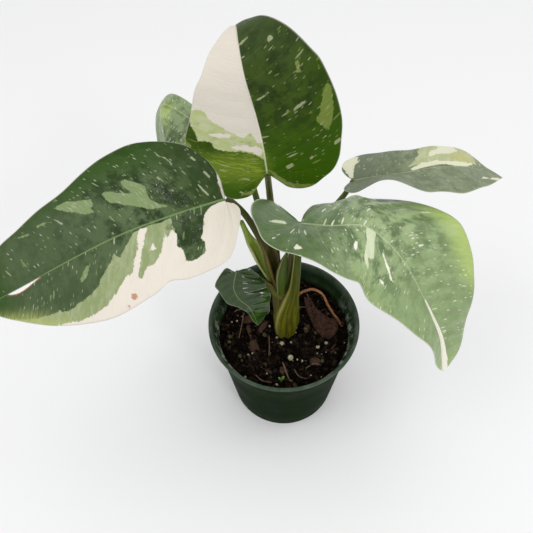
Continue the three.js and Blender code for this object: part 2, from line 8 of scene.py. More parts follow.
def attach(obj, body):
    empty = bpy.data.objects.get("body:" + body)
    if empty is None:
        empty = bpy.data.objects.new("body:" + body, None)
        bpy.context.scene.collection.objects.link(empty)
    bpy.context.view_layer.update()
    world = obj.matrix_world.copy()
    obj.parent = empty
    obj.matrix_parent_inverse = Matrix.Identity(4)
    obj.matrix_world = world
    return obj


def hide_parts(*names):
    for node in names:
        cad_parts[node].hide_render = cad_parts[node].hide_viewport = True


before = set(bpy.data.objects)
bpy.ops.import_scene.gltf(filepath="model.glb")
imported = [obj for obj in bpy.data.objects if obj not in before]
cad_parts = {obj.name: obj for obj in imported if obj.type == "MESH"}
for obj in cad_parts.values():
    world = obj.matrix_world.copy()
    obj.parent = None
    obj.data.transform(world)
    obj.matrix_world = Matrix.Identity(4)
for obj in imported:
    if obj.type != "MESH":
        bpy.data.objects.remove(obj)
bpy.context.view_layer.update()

# Every length below is in millimetres, and every piece is made in metres.
MM = 0.001

BLADE_EDGE = 0.55
RIB_DEPTH = 1.4
RIB_HALF_WIDTH = 1.5
ROW_SPACING = 1.15
COLUMNS = 44
COLUMN_CROWDING = 1.25
VEIN_SWEEP = 0.5
VEIN_CURVE = 0.05
GROOVE_DEPTH = 0.35
GROOVE_HALF_WIDTH = 1.3
# Patch depths stop growing at this distance from an outline
DEEPEST = 15
# Gap in a tear from which its edges are dry, and the depth that stands for no spot
DRY_GAP = 0.2
NO_SPOT = -3.0
# Share of a fleck's direction that runs across and along the blade
FLECK_ACROSS = 0.89
FLECK_ALONG = 0.45

# Midrib through space, face direction, and turns in degrees between even stations from base to
# tip. Outlines are (across, along) from the base, each half outward. Marks are (across, along,
# length, width), rust spots (across, along, size) and a tear (start, end, width) on the midrib.
# Lift raises the lobe behind the stalk and puffed swells a half, both for left and right.
LEAVES = {
    "a": {
        "midrib": [(-9, 3, 236), (-11, 2, 256), (-14, 2, 274), (-18, 4, 292), (-20, 12, 302),
                   (-21, 23, 304), (-22, 34, 298), (-23, 43, 286)],
        "face": (0, -1, 0.1),
        "fold": ([8], [8]),
        "bend": ([-20], [-20]),
        "left": [(0, 0), (5, -6), (10, -13), (16, -15), (20.5, -14.5), (24, -12), (24.5, -6),
                 (24.5, 1), (26, 8), (28.5, 15), (32.5, 22), (36, 28), (34, 35), (29, 44),
                 (22.5, 56), (17.4, 62), (12.6, 70), (6.5, 78), (2.4, 84.5), (2, 92), (1.5, 100),
                 (0, 109.4)],
        "right": [(0, 0), (5, -3), (9, -10), (16, -13), (23, -12), (29, -7), (34, -2), (37, 6),
                  (38, 17), (39, 28), (37.5, 41), (34, 56), (30.5, 62), (24, 70), (15, 78.5),
                  (7.5, 88), (3.5, 98.5), (0, 109.4)],
        "cream": [
            [(0.4, 21), (-2, 22), (-3, 25), (-4, 29), (-6, 29), (-8, 27), (-12, 31), (-15, 34),
             (-18, 38), (-21, 42), (-23, 47), (-50, 48), (-50, 125), (0.4, 125)],
            [(-16, 23.5), (-9, 22.5), (-3, 20.5), (0, 17), (-1.5, 13), (-6, 17.5), (-12, 20.5)],
            [(-23, 33.5), (-18, 33), (-13, 30.5), (-14, 29), (-19, 30.5), (-23, 32)],
        ],
        "pale": [
            [(0.4, 9), (-4, 15), (-8, 18), (-14, 20), (-19, 21), (-23, 24), (-23, 27),
             (-26, 30), (-27, 32), (-27.5, 29), (-30, 30), (-29, 34), (-30, 40), (-29, 45),
             (-29, 60), (0.4, 40)],
        ],
        "blotch": [
            [(35, 48), (36, 43), (36, 36), (35, 30), (34, 26), (32, 23), (30, 24.5), (28, 28),
             (27, 31), (29, 33), (31, 39), (32, 43), (34, 47)],
            [(22.5, 54), (24.5, 54), (24.5, 59), (23, 59)],
            [(7, 94), (9, 94), (9, 98), (7, 98)],
            [(-40, 24), (-33.6, 24.5), (-35, 34), (-40, 36)],
            [(-16, -13), (-8, -12), (-3, -4), (-5, -7), (-10, -10), (-15, -10.5)],
            # This last ring, a thin strip along the right lobe's lower margin, is a painted edge
            # highlight.
            [(0.6, 3), (3, -1), (5, -8), (9, -14), (16, -18), (25, -15), (24, -11), (18, -9.5),
             (12, -8.5), (9, -5.5), (6, -2), (3.5, 2)],
        ],
        "tinge": [
            [(-30, 0), (0, -4), (0, 12), (-8, 17), (-22, 18), (-36, 20)],
        ],
        "marks": [(-20, 10.5, 6, 1.1), (-22, 7, 3.6, 1.2), (-11, -1, 4, 1.2), (-6, 11.5, 4, 1.0),
                  (-15, -10, 2.4, 1.2), (-8.5, -9.5, 2, 1.2), (-11.6, 6, 2.4, 0.8),
                  (6, 47, 7.5, 1.1), (20, 39, 5.5, 1.6), (22.5, 40, 4, 1.4), (2.2, 71, 6, 1.2),
                  (14, 69, 2.4, 2), (36, 16, 4, 2.4), (23, 9, 2.4, 1.6), (12, 5, 4.5, 2.6),
                  (17, 51, 2, 1), (27, 47, 2, 1), (30, 20, 3, 0.8), (27, 22, 2.6, 0.8)],
    },
    "b": {
        "midrib": [(-32, 4, 218), (-57, -5.5, 218), (-84, -15, 215), (-108, -24, 209),
                   (-143, -32, 193), (-165, -37, 183)],
        "face": (-0.1, -0.45, 0.9),
        "fold": ([8], [6]),
        "bend": ([-32], [-15]),
        "left": [(0, 0), (7, -5), (13, -4), (20, 0), (28, 5), (33, 11), (35, 22), (35, 34),
                 (33, 43), (36, 52), (38, 66), (38, 80), (34, 96), (28, 110), (20, 124),
                 (11, 137), (5, 143), (0, 145.9)],
        "right": [(0, 0), (8, -2), (17, -2), (26, 1), (34, 8), (40, 16), (46, 30), (48, 40),
                  (46, 51), (41, 65), (36, 81), (33, 97), (30, 112), (26, 126), (18, 137),
                  (9, 143), (0, 145.9)],
        "cream": [
            [(-1, -4), (-1, 4), (-2, 9), (-4, 12), (-6, 14), (-10, 16), (-15, 18), (-17, 20),
             (-20, 18.5), (-25, 20), (-26, 23), (-27, 26), (-26, 31), (-20, 31), (-17, 33),
             (-11, 31), (-8, 32), (-9, 34), (-11, 36.5), (-8, 37), (-12, 39), (-16, 41),
             (-20, 45), (-22, 49), (-22, 52), (-26, 57), (-23, 62), (-21, 63), (-23, 66),
             (-27, 72), (-29, 76), (-31, 81), (-32, 88), (-32, 95), (-30, 102), (-28, 109),
             (-50, 112), (-50, -20), (-1, -20)],
            [(0, 1), (6, 0.6), (11, 0.4), (16, -0.6), (20, -1), (20, -6), (0, -6)],
            [(-10.5, 44), (-14.5, 43.5), (-14.5, 48)],
            [(-2, 44), (-8, 48), (-13, 51), (-19, 55), (-25, 59), (-23, 63), (-21, 60),
             (-15, 56), (-10, 52), (-4, 50.5), (-1, 48)],
        ],
        "pale": [
            [(-1, 31), (-2, 36), (-1, 43), (-2, 52), (-5, 55), (-9, 60), (-11, 63), (-10, 64.5),
             (-7, 64), (-8, 65.5), (-11, 67), (-13, 71), (-18, 77), (-20, 79), (-21, 83),
             (-22, 85), (-23, 91), (-24, 98), (-23, 103), (-21, 104), (-22, 106), (-21, 113),
             (-19, 121), (-15, 130), (-13, 136), (-50, 145), (-50, 31), (-26, 32), (-16, 34),
             (-9, 31)],
        ],
        "blotch": [
            [(5, 30), (9, 35), (12, 38), (20, 38), (23, 40), (25, 43), (28, 48), (24, 48),
             (18.5, 45), (21, 51), (25, 57), (24.5, 59.5), (18, 57), (15, 52), (11, 45),
             (7, 39)],
            [(17, 66), (20, 67), (21, 65), (24.5, 65.5), (28, 74), (30.5, 79), (29.5, 86),
             (23, 77), (18, 70)],
            [(23.4, 91), (24.6, 91), (25.8, 99), (24.8, 99)],
            [(23.4, 105), (24.4, 105), (25.6, 113), (24.8, 113)],
            [(-7, 79), (-10, 80), (-13, 83), (-14, 86), (-12, 86), (-8, 81.5)],
        ],
        "tinge": [
            [(-34, 96), (-26, 108), (-17, 122), (-10, 140), (-50, 140), (-50, 96)],
        ],
        "tear": (105, 131, 2.6),
        "marks": [(30, 22, 7, 1.1), (27, 9, 4, 1.4), (16, 5, 5, 1.4), (19, 20, 2.6, 0.9),
                  (24, 17, 2.4, 0.8), (6.5, 9, 5, 1.2), (22, 30, 3, 0.8), (35, 26, 3.6, 1),
                  (38, 38, 3, 0.8), (33, 45, 3, 0.8)],
        "rust": [(-33, 65, 1.9), (-36.5, 70, 1.2), (-30, 63, 0.8)],
    },
    "c": {
        "midrib": [(8, -8, 210), (23, -13, 213), (41, -14, 213), (53, -19, 206), (64, -28, 196),
                   (72, -38, 185), (79, -47, 174), (86, -54, 159), (91, -62, 135)],
        "face": (0, 0, 1),
        "roll": [0, 6, 24, 26, 25],
        "fold": ([-8, -6, 4, 5, 5], [20, 10, 14, 24, 26]),
        "bend": ([-45, -46, -6, -12, -12], [-20, -20, -20, -10, -10]),
        "lift": (0, 2),
        "puffed": (2.4, 1.0),
        "left": [(0, 0), (7, 1), (14, 2), (22, 3), (30, 6), (36, 12), (40, 22), (43, 36),
                 (45, 50), (44, 63), (42, 77), (40, 89), (35, 98), (28.5, 106), (22.5, 114),
                 (18, 122), (14, 130), (9, 138), (4, 142.5), (0, 143.2)],
        "right": [(0, 0), (-4.3, -4.8), (-10, -12), (-13, -18), (-10, -23), (-2, -25), (7, -23),
                  (15, -18), (22, -13), (26, -5), (28, 4), (30, 13), (33, 21), (35, 30),
                  (35, 42), (34, 55), (31.5, 69), (26, 83), (19.5, 96.5), (14.5, 108), (12, 120),
                  (7, 134), (0, 143.2)],
        "cream": [
            [(8.6, 50), (9.6, 50), (12.4, 57), (15, 66), (14.2, 68), (12.6, 62), (10.5, 56)],
            [(11, 31), (15, 32), (18.5, 31), (16, 29.5), (13, 30)],
            [(20.6, 60), (19.4, 63), (20.4, 66), (21.4, 63)],
            [(23, 2), (20.5, 3), (23, 6), (25, 3)],
            [(-0.4, 89), (-0.7, 100), (-1.2, 113), (-2.2, 126), (-3.6, 136), (-3, 144), (1.6, 142),
             (2, 130), (1.8, 116), (1.2, 103), (0.4, 89)],
        ],
        "blotch": [
            [(0.4, 36), (3, 35.5), (10, 37), (16, 36.5), (21, 37), (24, 39), (26, 44.5),
             (20, 40), (17.5, 45), (12, 43), (7, 42), (0.4, 42)],
            [(7, -15), (3, -12.5), (1.5, -8.5), (3.8, -6.5), (5.5, -10)],
        ],
        "tinge": [
            [(-38, 56), (-50, 58), (-50, 97), (-33, 104), (-29, 92), (-31, 74)],
        ],
    },
    "d": {
        "midrib": [(45, 42, 191), (59, 40, 196), (74, 39, 199), (89, 41, 200), (104, 43, 199),
                   (119, 45, 195), (140, 45, 186)],
        "face": (0, 0.3, 0.95),
        "roll": [-5, -2, 6, 11, 13, 15],
        "fold": ([25, 20, 13, 9, 6, 5], [0, 22, 6, 4, 3, 0]),
        "bend": ([-25], [-15]),
        "left": [(0, 0), (5, -5), (12, -8), (20, -6), (25, 2), (26, 12), (24, 28), (22, 46),
                 (22, 62), (24, 73), (21, 79), (13, 82), (7, 87), (3, 94), (0, 99.3)],
        "right": [(0, 0), (5, -4), (12, -5), (18, 0), (21, 8), (23, 17), (25, 28), (27, 38),
                  (28, 47), (27, 56), (24, 66), (19, 76), (12, 86), (5, 94), (0, 99.3)],
        "cream": [
            [(-30, 60), (-19, 59), (-16, 54), (-12, 50), (-10, 49), (-12, 56), (-13, 66),
             (-18, 72), (-30, 74)],
            [(-2, 35), (-0.5, 36), (-1.5, 46), (-2.5, 55), (-0.5, 64), (-0.5, 72), (-4, 78),
             (-4.5, 62), (-6, 52), (-5, 42)],
            [(-15, -9), (-24, -3), (-24, 2), (-15, 1.5), (-10, -0.5), (-2, 0), (-2, -2),
             (-6, -4)],
            [(9, 78), (11.4, 77), (8, 88), (4, 96), (3, 94), (6, 88)],
        ],
        "pale": [
            [(-30, 52), (-14, 44), (-4, 34), (-2, 56), (-4, 80), (-30, 84)],
        ],
        "tinge": [
            [(-15, 68), (-8, 66), (-5, 70), (-7, 77), (-15, 77)],
        ],
    },
    "e": {
        "midrib": [(-22, 38, 214), (-35, 46, 225), (-52, 56, 231), (-64, 63, 235),
                   (-70, 69, 231), (-74, 73, 218), (-77, 76, 201), (-79, 78, 182)],
        "face": (0.3, -0.8, 0.6),
        "fold": ([0, 0, -10, -20, -20], [-40, -40, -10, 40, 50]),
        "bend": ([-60], [-120]),
        "left": [(0, 0), (5, -7), (13, -10), (21, -6), (26, 5), (28, 22), (29, 41), (27, 60),
                 (22, 78), (13, 96), (5, 109), (0, 114.8)],
        "right": [(0, 0), (5, -7), (13, -10), (19, -6), (20, 5), (17, 22), (13, 38), (10, 53),
                  (9, 65), (9, 79), (6, 96), (4, 109), (0, 114.8)],
        "cream": [
            [(-18, 66), (-10, 68), (-12, 80), (-20, 84)],
        ],
        "pale": [
            [(-7, 50), (-2, 52), (-3, 66), (-8, 66)],
        ],
        "tinge": [
            [(-10, 54), (0, 54), (0, 66), (-10, 66)],
        ],
    },
    "f": {
        "midrib": [(-30, -2, 158), (-32, -8, 150), (-29, -12, 143), (-23.5, -14.5, 138),
                   (-20, -15.5, 127.5), (-18, -16, 116.5)],
        "chord": 14,
        "face": (0.25, -0.6, 0.75),
        "fold": ([5], [0]),
        "bend": ([-30], [-60, -260]),
        "left": [(0, 0), (3, -2), (8, -3), (11, -1), (15, 3), (19, 10), (20, 17), (17, 26),
                 (15, 32), (11, 39), (5, 46), (0, 49.2)],
        "right": [(0, 0), (2, -1), (6, -3), (9, 0), (12, 6), (10, 10), (8, 16), (7, 20),
                  (5, 25), (3, 30), (2.5, 36), (2, 42), (1, 46.5), (0, 49.2)],
    },
}

# Vein spacing, puff between the veins, wave at the margin and its length
RELIEF = {
    "a": (9.0, 0.22, 0.5, 34),
    "b": (9.5, 0.25, 0.5, 40),
    "c": (8.5, 0.5, 0.8, 36),
    "d": (8.0, 0.25, 0.5, 30),
    "e": (8.0, 0.2, 0.4, 30),
    "f": (4.6, 0.9, 1.0, 14),
}


def unit(vectors):
    return vectors / np.maximum(np.linalg.norm(vectors, axis=-1, keepdims=True), 1e-12)


def eased(x):
    return x * x * (3 - 2 * x)


def ramp(low, high, x):
    return eased(np.clip((x - low) / (high - low), 0, 1))


def between(stations, share):
    """Value at a share of the length, eased between even stations."""
    stations = np.asarray(stations, float)
    last = len(stations) - 1
    if last == 0:
        return np.full_like(share, stations[0])
    x = np.clip(share, 0, 1) * last
    k = np.minimum(x.astype(int), last - 1)
    ease = eased(x - k)
    return stations[k] * (1 - ease) + stations[k + 1] * ease


def smooth_curve(points, steps):
    """Points along a curve that passes through the given ones."""
    points = np.asarray(points, float)
    spans = len(points) - 1
    padded = np.vstack([2 * points[0] - points[1], points, 2 * points[-1] - points[-2]])
    x = np.linspace(0, spans, spans * steps + 1)
    k = np.minimum(x.astype(int), spans - 1)
    f = (x - k)[:, None]
    a, b, c, d = padded[k], padded[k + 1], padded[k + 2], padded[k + 3]
    return 0.5 * (2 * b + (c - a) * f + (2 * a - 5 * b + 4 * c - d) * f**2
                  + (3 * b - a - 3 * c + d) * f**3)


def running_length(points):
    return np.r_[0, np.cumsum(np.linalg.norm(np.diff(points, axis=0), axis=1))]


def at_lengths(points, lengths, wanted):
    wanted = np.asarray(wanted, float)
    flat = wanted.ravel()
    columns = [np.interp(flat, lengths, points[:, k]) for k in range(points.shape[1])]
    return np.stack(columns, -1).reshape(*wanted.shape, points.shape[1])


def lumpy(x, y, size, seed):
    """Smooth noise between -1 and 1 with lumps of one size."""
    heights = np.random.default_rng(seed).uniform(-1, 1, (64, 64))
    x = np.asarray(x) / size + 100
    y = np.asarray(y) / size + 100
    i = np.floor(x).astype(int)
    j = np.floor(y).astype(int)
    u = eased(x - i)
    v = eased(y - j)
    low = heights[i % 64, j % 64] * (1 - u) + heights[(i + 1) % 64, j % 64] * u
    high = heights[i % 64, (j + 1) % 64] * (1 - u) + heights[(i + 1) % 64, (j + 1) % 64] * u
    return low * (1 - v) + high * v


def grid_faces(rows, columns, start=0, closed=False, flipped=False):
    """Quads over rows of points, each row as long as the next."""
    spans = columns if closed else columns - 1
    i, j = np.meshgrid(np.arange(rows - 1), np.arange(spans), indexing="ij")
    near = start + i * columns
    k = (j + 1) % columns
    quads = np.stack([near + j, near + k, near + columns + k, near + columns + j], -1)
    quads = quads.reshape(-1, 4)
    return quads[:, ::-1] if flipped else quads


def fan_faces(start, around, centre, flipped=False):
    """Triangles from a ring of points to its centre."""
    near = np.arange(around)
    far = (near + 1) % around
    if flipped:
        near, far = far, near
    return np.stack([start + near, start + far, np.full(around, centre)], -1).tolist()


def welded(points, faces):
    """Joins points that meet, and drops the faces that this closes up."""
    keys = np.round(points * 2000).astype(np.int64)
    first, where = np.unique(keys, axis=0, return_index=True, return_inverse=True)[1:]
    kept = []
    for face in where.ravel()[faces].tolist():
        ring = [v for k, v in enumerate(face) if v != face[k - 1]]
        if len(ring) > 2:
            kept.append(ring)
    return first, kept


def add_piece(name, parts, finish, replaces=(), sharp=None):
    """Smooth shaded piece from points, faces and, for each measure, one number a point."""
    points, faces, measures = parts
    mesh = bpy.data.meshes.new(name)
    faces = faces.tolist() if isinstance(faces, np.ndarray) else faces
    mesh.from_pydata((np.asarray(points, float) * MM).tolist(), [], faces)
    for label, values in measures.items():
        held = mesh.attributes.new(label, "FLOAT", "POINT")
        held.data.foreach_set("value", np.asarray(values, np.float32))
    mesh.validate()
    mesh.shade_smooth()
    if sharp is not None:
        mesh.set_sharp_from_angle(angle=math.radians(sharp))
    mesh.materials.append(finish)
    piece = bpy.data.objects.new(name, mesh)
    bpy.context.scene.collection.objects.link(piece)
    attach(piece, "root")
    if replaces:
        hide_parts(*replaces)
    return piece


def merged(parts):
    """Joins parts given as (points, faces, measures)."""
    points = []
    faces = []
    measures = {}
    count = 0
    for part_points, part_faces, part_measures in parts:
        points.append(part_points)
        rows = part_faces.tolist() if isinstance(part_faces, np.ndarray) else part_faces
        faces += [[v + count for v in face] for face in rows]
        for label, values in part_measures.items():
            measures.setdefault(label, []).append(np.resize(values, len(part_points)))
        count += len(part_points)
    return np.vstack(points), faces, {label: np.concatenate(v) for label, v in measures.items()}


class Blade:
    """The leaf's surface, from places across and along the flat blade."""

    def __init__(self, leaf):
        self.leaf = leaf
        self.spine = smooth_curve(leaf["midrib"], 30)
        self.lengths = running_length(self.spine)
        self.total = self.lengths[-1]
        chord = leaf.get("chord", 18)
        fore = at_lengths(self.spine, self.lengths, self.lengths + chord)
        self.ahead = unit(fore - at_lengths(self.spine, self.lengths, self.lengths - chord))
        facing = np.asarray(leaf["face"], float)
        faces = []
        for forward in self.ahead:
            facing = unit(facing - (facing @ forward) * forward)
            faces.append(facing)
        self.faces = np.array(faces)

    def at(self, side, across, along):
        leaf = self.leaf
        half = 0 if side < 0 else 1
        along_rib = np.clip(along, 0, self.total)
        share = along_rib / self.total
        place = at_lengths(self.spine, self.lengths, along_rib)
        place = place + self.ahead[0] * np.minimum(along, 0)[..., None]
        forward = unit(at_lengths(self.ahead, self.lengths, along_rib))
        up = unit(at_lengths(self.faces, self.lengths, along_rib))
        out = np.cross(forward, up)
        roll = np.radians(between(leaf.get("roll", [0]), share))[..., None]
        out, up = out * np.cos(roll) - up * np.sin(roll), up * np.cos(roll) + out * np.sin(roll)
        fold = np.radians(between(leaf["fold"][half], share))
        curl = np.radians(between(leaf["bend"][half], share)) / 40
        run = (np.sin(fold + curl * across) - np.sin(fold)) / curl
        rise = (np.cos(fold) - np.cos(fold + curl * across)) / curl
        rise = rise + leaf.get("lift", (0, 0))[half] * (np.minimum(along, 0) / 10) ** 2
        return place + out * (side * run)[..., None] + up * rise[..., None]

    def normal(self, side, across, along):
        here = self.at(side, across, along)
        width = self.at(side, across + 0.4, along) - here
        forward = self.at(side, across, along + 0.4) - here
        return unit(np.cross(width, forward) * side)


def margin_rows(outline, total):
    """Margin places of a half blade, where each one's vein leaves the midrib, and its number."""
    line = smooth_curve(outline, 24)
    roots = np.maximum.accumulate(np.clip(line[:, 1] - VEIN_SWEEP * np.abs(line[:, 0]), 0, total))
    roots[-1] = total
    lengths = running_length(line)
    first = int(np.argmax(roots > 0)) - 1
    lobe = np.linspace(0, lengths[first], max(int(lengths[first] / ROW_SPACING), 2))[:-1]
    lobe_edges = at_lengths(line, lengths, lobe)
    wanted = np.linspace(0, total, int(total / ROW_SPACING) + 1)
    later = np.clip(np.searchsorted(roots[first:], wanted) + first, first + 1, len(line) - 1)
    span = np.maximum(roots[later] - roots[later - 1], 1e-6)
    share = np.clip((wanted - roots[later - 1]) / span, 0, 1)[:, None]
    edges = line[later - 1] * (1 - share) + line[later] * share
    veins = np.r_[-0.45 * (lengths[first] - lobe), wanted]
    return np.vstack([lobe_edges, edges]), np.r_[np.zeros(len(lobe)), wanted], veins


def depth_inside(across, along, ring):
    """Distance to a ring's outline, positive inside it."""
    nearest = np.full(across.shape, 1e9)
    inside = np.zeros(across.shape, bool)
    for (x0, y0), (x1, y1) in zip(ring, ring[1:] + ring[:1]):
        dx, dy = x1 - x0, y1 - y0
        share = np.clip(((across - x0) * dx + (along - y0) * dy) / (dx * dx + dy * dy), 0, 1)
        nearest = np.minimum(nearest, np.hypot(across - x0 - share * dx, along - y0 - share * dy))
        if dy:
            crossed = (along < y0) != (along < y1)
            inside ^= crossed & (across < x0 + (along - y0) * dx / dy)
    return np.where(inside, nearest, -nearest)


def depth_in_any(across, along, rings):
    depth = np.full(across.shape, -float(DEEPEST))
    for ring in rings:
        depth = np.maximum(depth, depth_inside(across, along, ring))
    return np.clip(depth, -DEEPEST, DEEPEST)


def half_blade(blade, side, relief):
    """Top and under points of half a blade, as rows from the midrib to the margin."""
    vein_gap, puff, wave, wave_length = relief
    leaf = blade.leaf
    edges, roots, veins = margin_rows(leaf["left" if side < 0 else "right"], blade.total)
    step = (np.arange(COLUMNS + 1) / COLUMNS) ** COLUMN_CROWDING
    edge_across, edge_along = edges[:, :1], edges[:, 1:]
    root = roots[:, None]
    start, end, width = leaf.get("tear", (0, 1, 0))
    opening = width * np.sin(math.pi * np.clip((root - start) / (end - start), 0, 1) ** 1.6)
    gap = opening if side < 0 else 0 * opening
    bow = root + (0.5 - 0.25 * np.clip(edge_across / 15, 0, 1)) * (edge_along - root)
    across = gap + step * np.where(gap > 0, np.maximum(edge_across - gap, 0), edge_across)
    along = (1 - step) ** 2 * root + 2 * step * (1 - step) * bow + step**2 * edge_along
    vein = np.broadcast_to(veins[:, None], across.shape)
    length = np.hypot(edge_across, edge_along - root)
    away = np.hypot(across, np.minimum(along, 0))
    share = np.clip(along / blade.total, 0, 1)
    normal = blade.normal(side, across, along)
    half_width = RIB_HALF_WIDTH * (1 - 0.75 * share)
    swell = 0.5 - 0.5 * np.cos(2 * math.pi * (vein - VEIN_CURVE * away) / vein_gap)
    half = 0 if side < 0 else 1
    puff = puff * leaf.get("puffed", (1, 1))[half]
    height = puff * swell * ramp(1, 6, away) * (1 - step**4)
    groove = GROOVE_DEPTH * np.exp(-((away / GROOVE_HALF_WIDTH) ** 2))
    height = height - groove * (1 - 0.6 * share)
    ripple = np.sin(2 * math.pi * vein / wave_length + 1.7 * side)
    height = height + wave * step**2 * ripple * ramp(0, 12, length)
    top = blade.at(side, across, along) + normal * height[..., None]
    rib = RIB_DEPTH * (1 - 0.8 * share) * np.exp(-((away / half_width) ** 2))
    edge_gap = (1 - step) * length
    thick = BLADE_EDGE * (0.45 + 0.55 * ramp(0, 1.5, edge_gap)) + rib
    under = top - normal * thick[..., None]
    measures = {
        "across": side * across,
        "along": along,
        "vein": vein,
        "reach": np.broadcast_to(step, across.shape),
        "edge_gap": np.where(gap > DRY_GAP, np.minimum(edge_gap, away - gap), edge_gap),
        "rib": away / half_width,
    }
    for patch in ("cream", "pale", "blotch", "tinge"):
        measures[patch] = depth_in_any(side * across, along, leaf.get(patch, []))
    measures["rust"] = np.where(gap > DRY_GAP, 0.9 - (away - gap), NO_SPOT)
    for spot_across, spot_along, size in leaf.get("rust", []):
        spot = size - np.hypot(side * across - spot_across, along - spot_along)
        measures["rust"] = np.maximum(measures["rust"], spot)
    measures["mark"] = np.full(across.shape, NO_SPOT)
    for mark_across, mark_along, mark_length, mark_width in leaf.get("marks", []):
        aside, ahead = side * across - mark_across, along - mark_along
        runs = FLECK_ACROSS * side * aside + FLECK_ALONG * ahead
        strays = FLECK_ACROSS * ahead - FLECK_ALONG * side * aside
        lengthwise = mark_length / 2 - np.abs(runs)
        sideways = mark_width / 2 - np.abs(strays)
        measures["mark"] = np.maximum(measures["mark"], np.minimum(lengthwise, sideways))
    return top, under, measures, opening[:, 0] > 0.01


def torn_edges(torn, columns, side):
    """Wall between the top and the underside along a tear at the midrib."""
    rows = np.flatnonzero(torn[:-1] | torn[1:])
    start = rows * 2 * columns
    end = start + 2 * columns - 1
    quads = np.stack([start, start + 2 * columns, end + 2 * columns, end], -1)
    return quads[:, ::side]


def blade_points(leaf, relief):
    blade = Blade(leaf)
    parts = []
    for side in (-1, 1):
        top, under, measures, torn = half_blade(blade, side, relief)
        rows, columns = top.shape[:2]
        both = np.concatenate([top, under[:, ::-1]], 1)
        held = {label: np.concatenate([v, v[:, ::-1]], 1).ravel() for label, v in measures.items()}
        held["under"] = np.concatenate([np.zeros_like(top[..., 0]), np.ones_like(top[..., 0])], 1)
        held["under"] = held["under"].ravel()
        faces = grid_faces(rows, 2 * columns, flipped=side < 0)
        faces = np.vstack([faces, torn_edges(torn, columns, side)])
        parts.append((both.reshape(-1, 3), faces, held))
    points, faces, measures = merged(parts)
    first, faces = welded(points, np.array(faces))
    return points[first], faces, {label: values[first] for label, values in measures.items()}


class Tree:
    """The nodes of a material or a shader group."""

    def __init__(self, tree):
        self.tree = tree

    def node(self, kind, inputs=None, **settings):
        made = self.tree.nodes.new(kind)
        for key, value in settings.items():
            setattr(made, key, value)
        for key, value in (inputs or {}).items():
            self.feed(made.inputs[key], value)
        return made

    def feed(self, socket, value):
        if isinstance(value, bpy.types.NodeSocket):
            self.tree.links.new(value, socket)
        else:
            socket.default_value = (*value, 1.0) if isinstance(value, tuple) else value

    def math(self, operation, *values):
        return self.node("ShaderNodeMath", dict(enumerate(values)), operation=operation).outputs[0]

    def add(self, first, second):
        return self.math("ADD", first, second)

    def less(self, first, second):
        return self.math("SUBTRACT", first, second)

    def times(self, first, second):
        return self.math("MULTIPLY", first, second)

    def measure(self, name):
        held = self.node("ShaderNodeAttribute", attribute_name=name, attribute_type="GEOMETRY")
        return held.outputs["Fac"]

    def place(self, x, y, z=0.0):
        return self.node("ShaderNodeCombineXYZ", {0: x, 1: y, 2: z}).outputs[0]

    def noise(self, place, scale, detail=3.0, rough=0.55):
        inputs = {"Vector": place, "Scale": scale, "Detail": detail, "Roughness": rough}
        return self.node("ShaderNodeTexNoise", inputs).outputs["Fac"]

    def ramp(self, value, low, high, start=0.0, end=1.0):
        inputs = {"Value": value, "From Min": low, "From Max": high, "To Min": start, "To Max": end}
        made = self.node("ShaderNodeMapRange", inputs, interpolation_type="SMOOTHSTEP")
        return made.outputs["Result"]

    def mix(self, share, first, second):
        made = self.node("ShaderNodeMix", data_type="RGBA")
        self.feed(made.inputs[0], share)
        self.feed(made.inputs[6], first)
        self.feed(made.inputs[7], second)
        return made.outputs[2]

    def blend(self, share, first, second):
        made = self.node("ShaderNodeMix", data_type="FLOAT")
        self.feed(made.inputs[0], share)
        self.feed(made.inputs[2], first)
        self.feed(made.inputs[3], second)
        return made.outputs[0]


def new_finish(name):
    material = bpy.data.materials.new(name)
    material.use_nodes = True
    return material, Tree(material.node_tree), material.node_tree.nodes["Principled BSDF"]


def shader_group(name, inputs, outputs):
    """Empty group with named sockets; returns its tree, its inputs and its outputs."""
    group = bpy.data.node_groups.new(name, "ShaderNodeTree")
    for label, value in inputs.items():
        kind = "NodeSocketColor" if isinstance(value, tuple) else "NodeSocketFloat"
        socket = group.interface.new_socket(name=label, in_out="INPUT", socket_type=kind)
        socket.default_value = (*value, 1.0) if isinstance(value, tuple) else value
    for label in outputs:
        kind = "NodeSocketColor" if label == "Color" else "NodeSocketFloat"
        group.interface.new_socket(name=label, in_out="OUTPUT", socket_type=kind)
    tree = Tree(group)
    given = tree.node("NodeGroupInput").outputs
    result = tree.node("NodeGroupOutput").inputs
    return group, tree, given, result


BLADE_COLOURS = ["Deep green", "Green", "Base green", "Far green", "Edge green", "Pale green",
                 "Blotch", "Tinge", "Cream"]
UNSET_GREEN = (0.05, 0.11, 0.03)


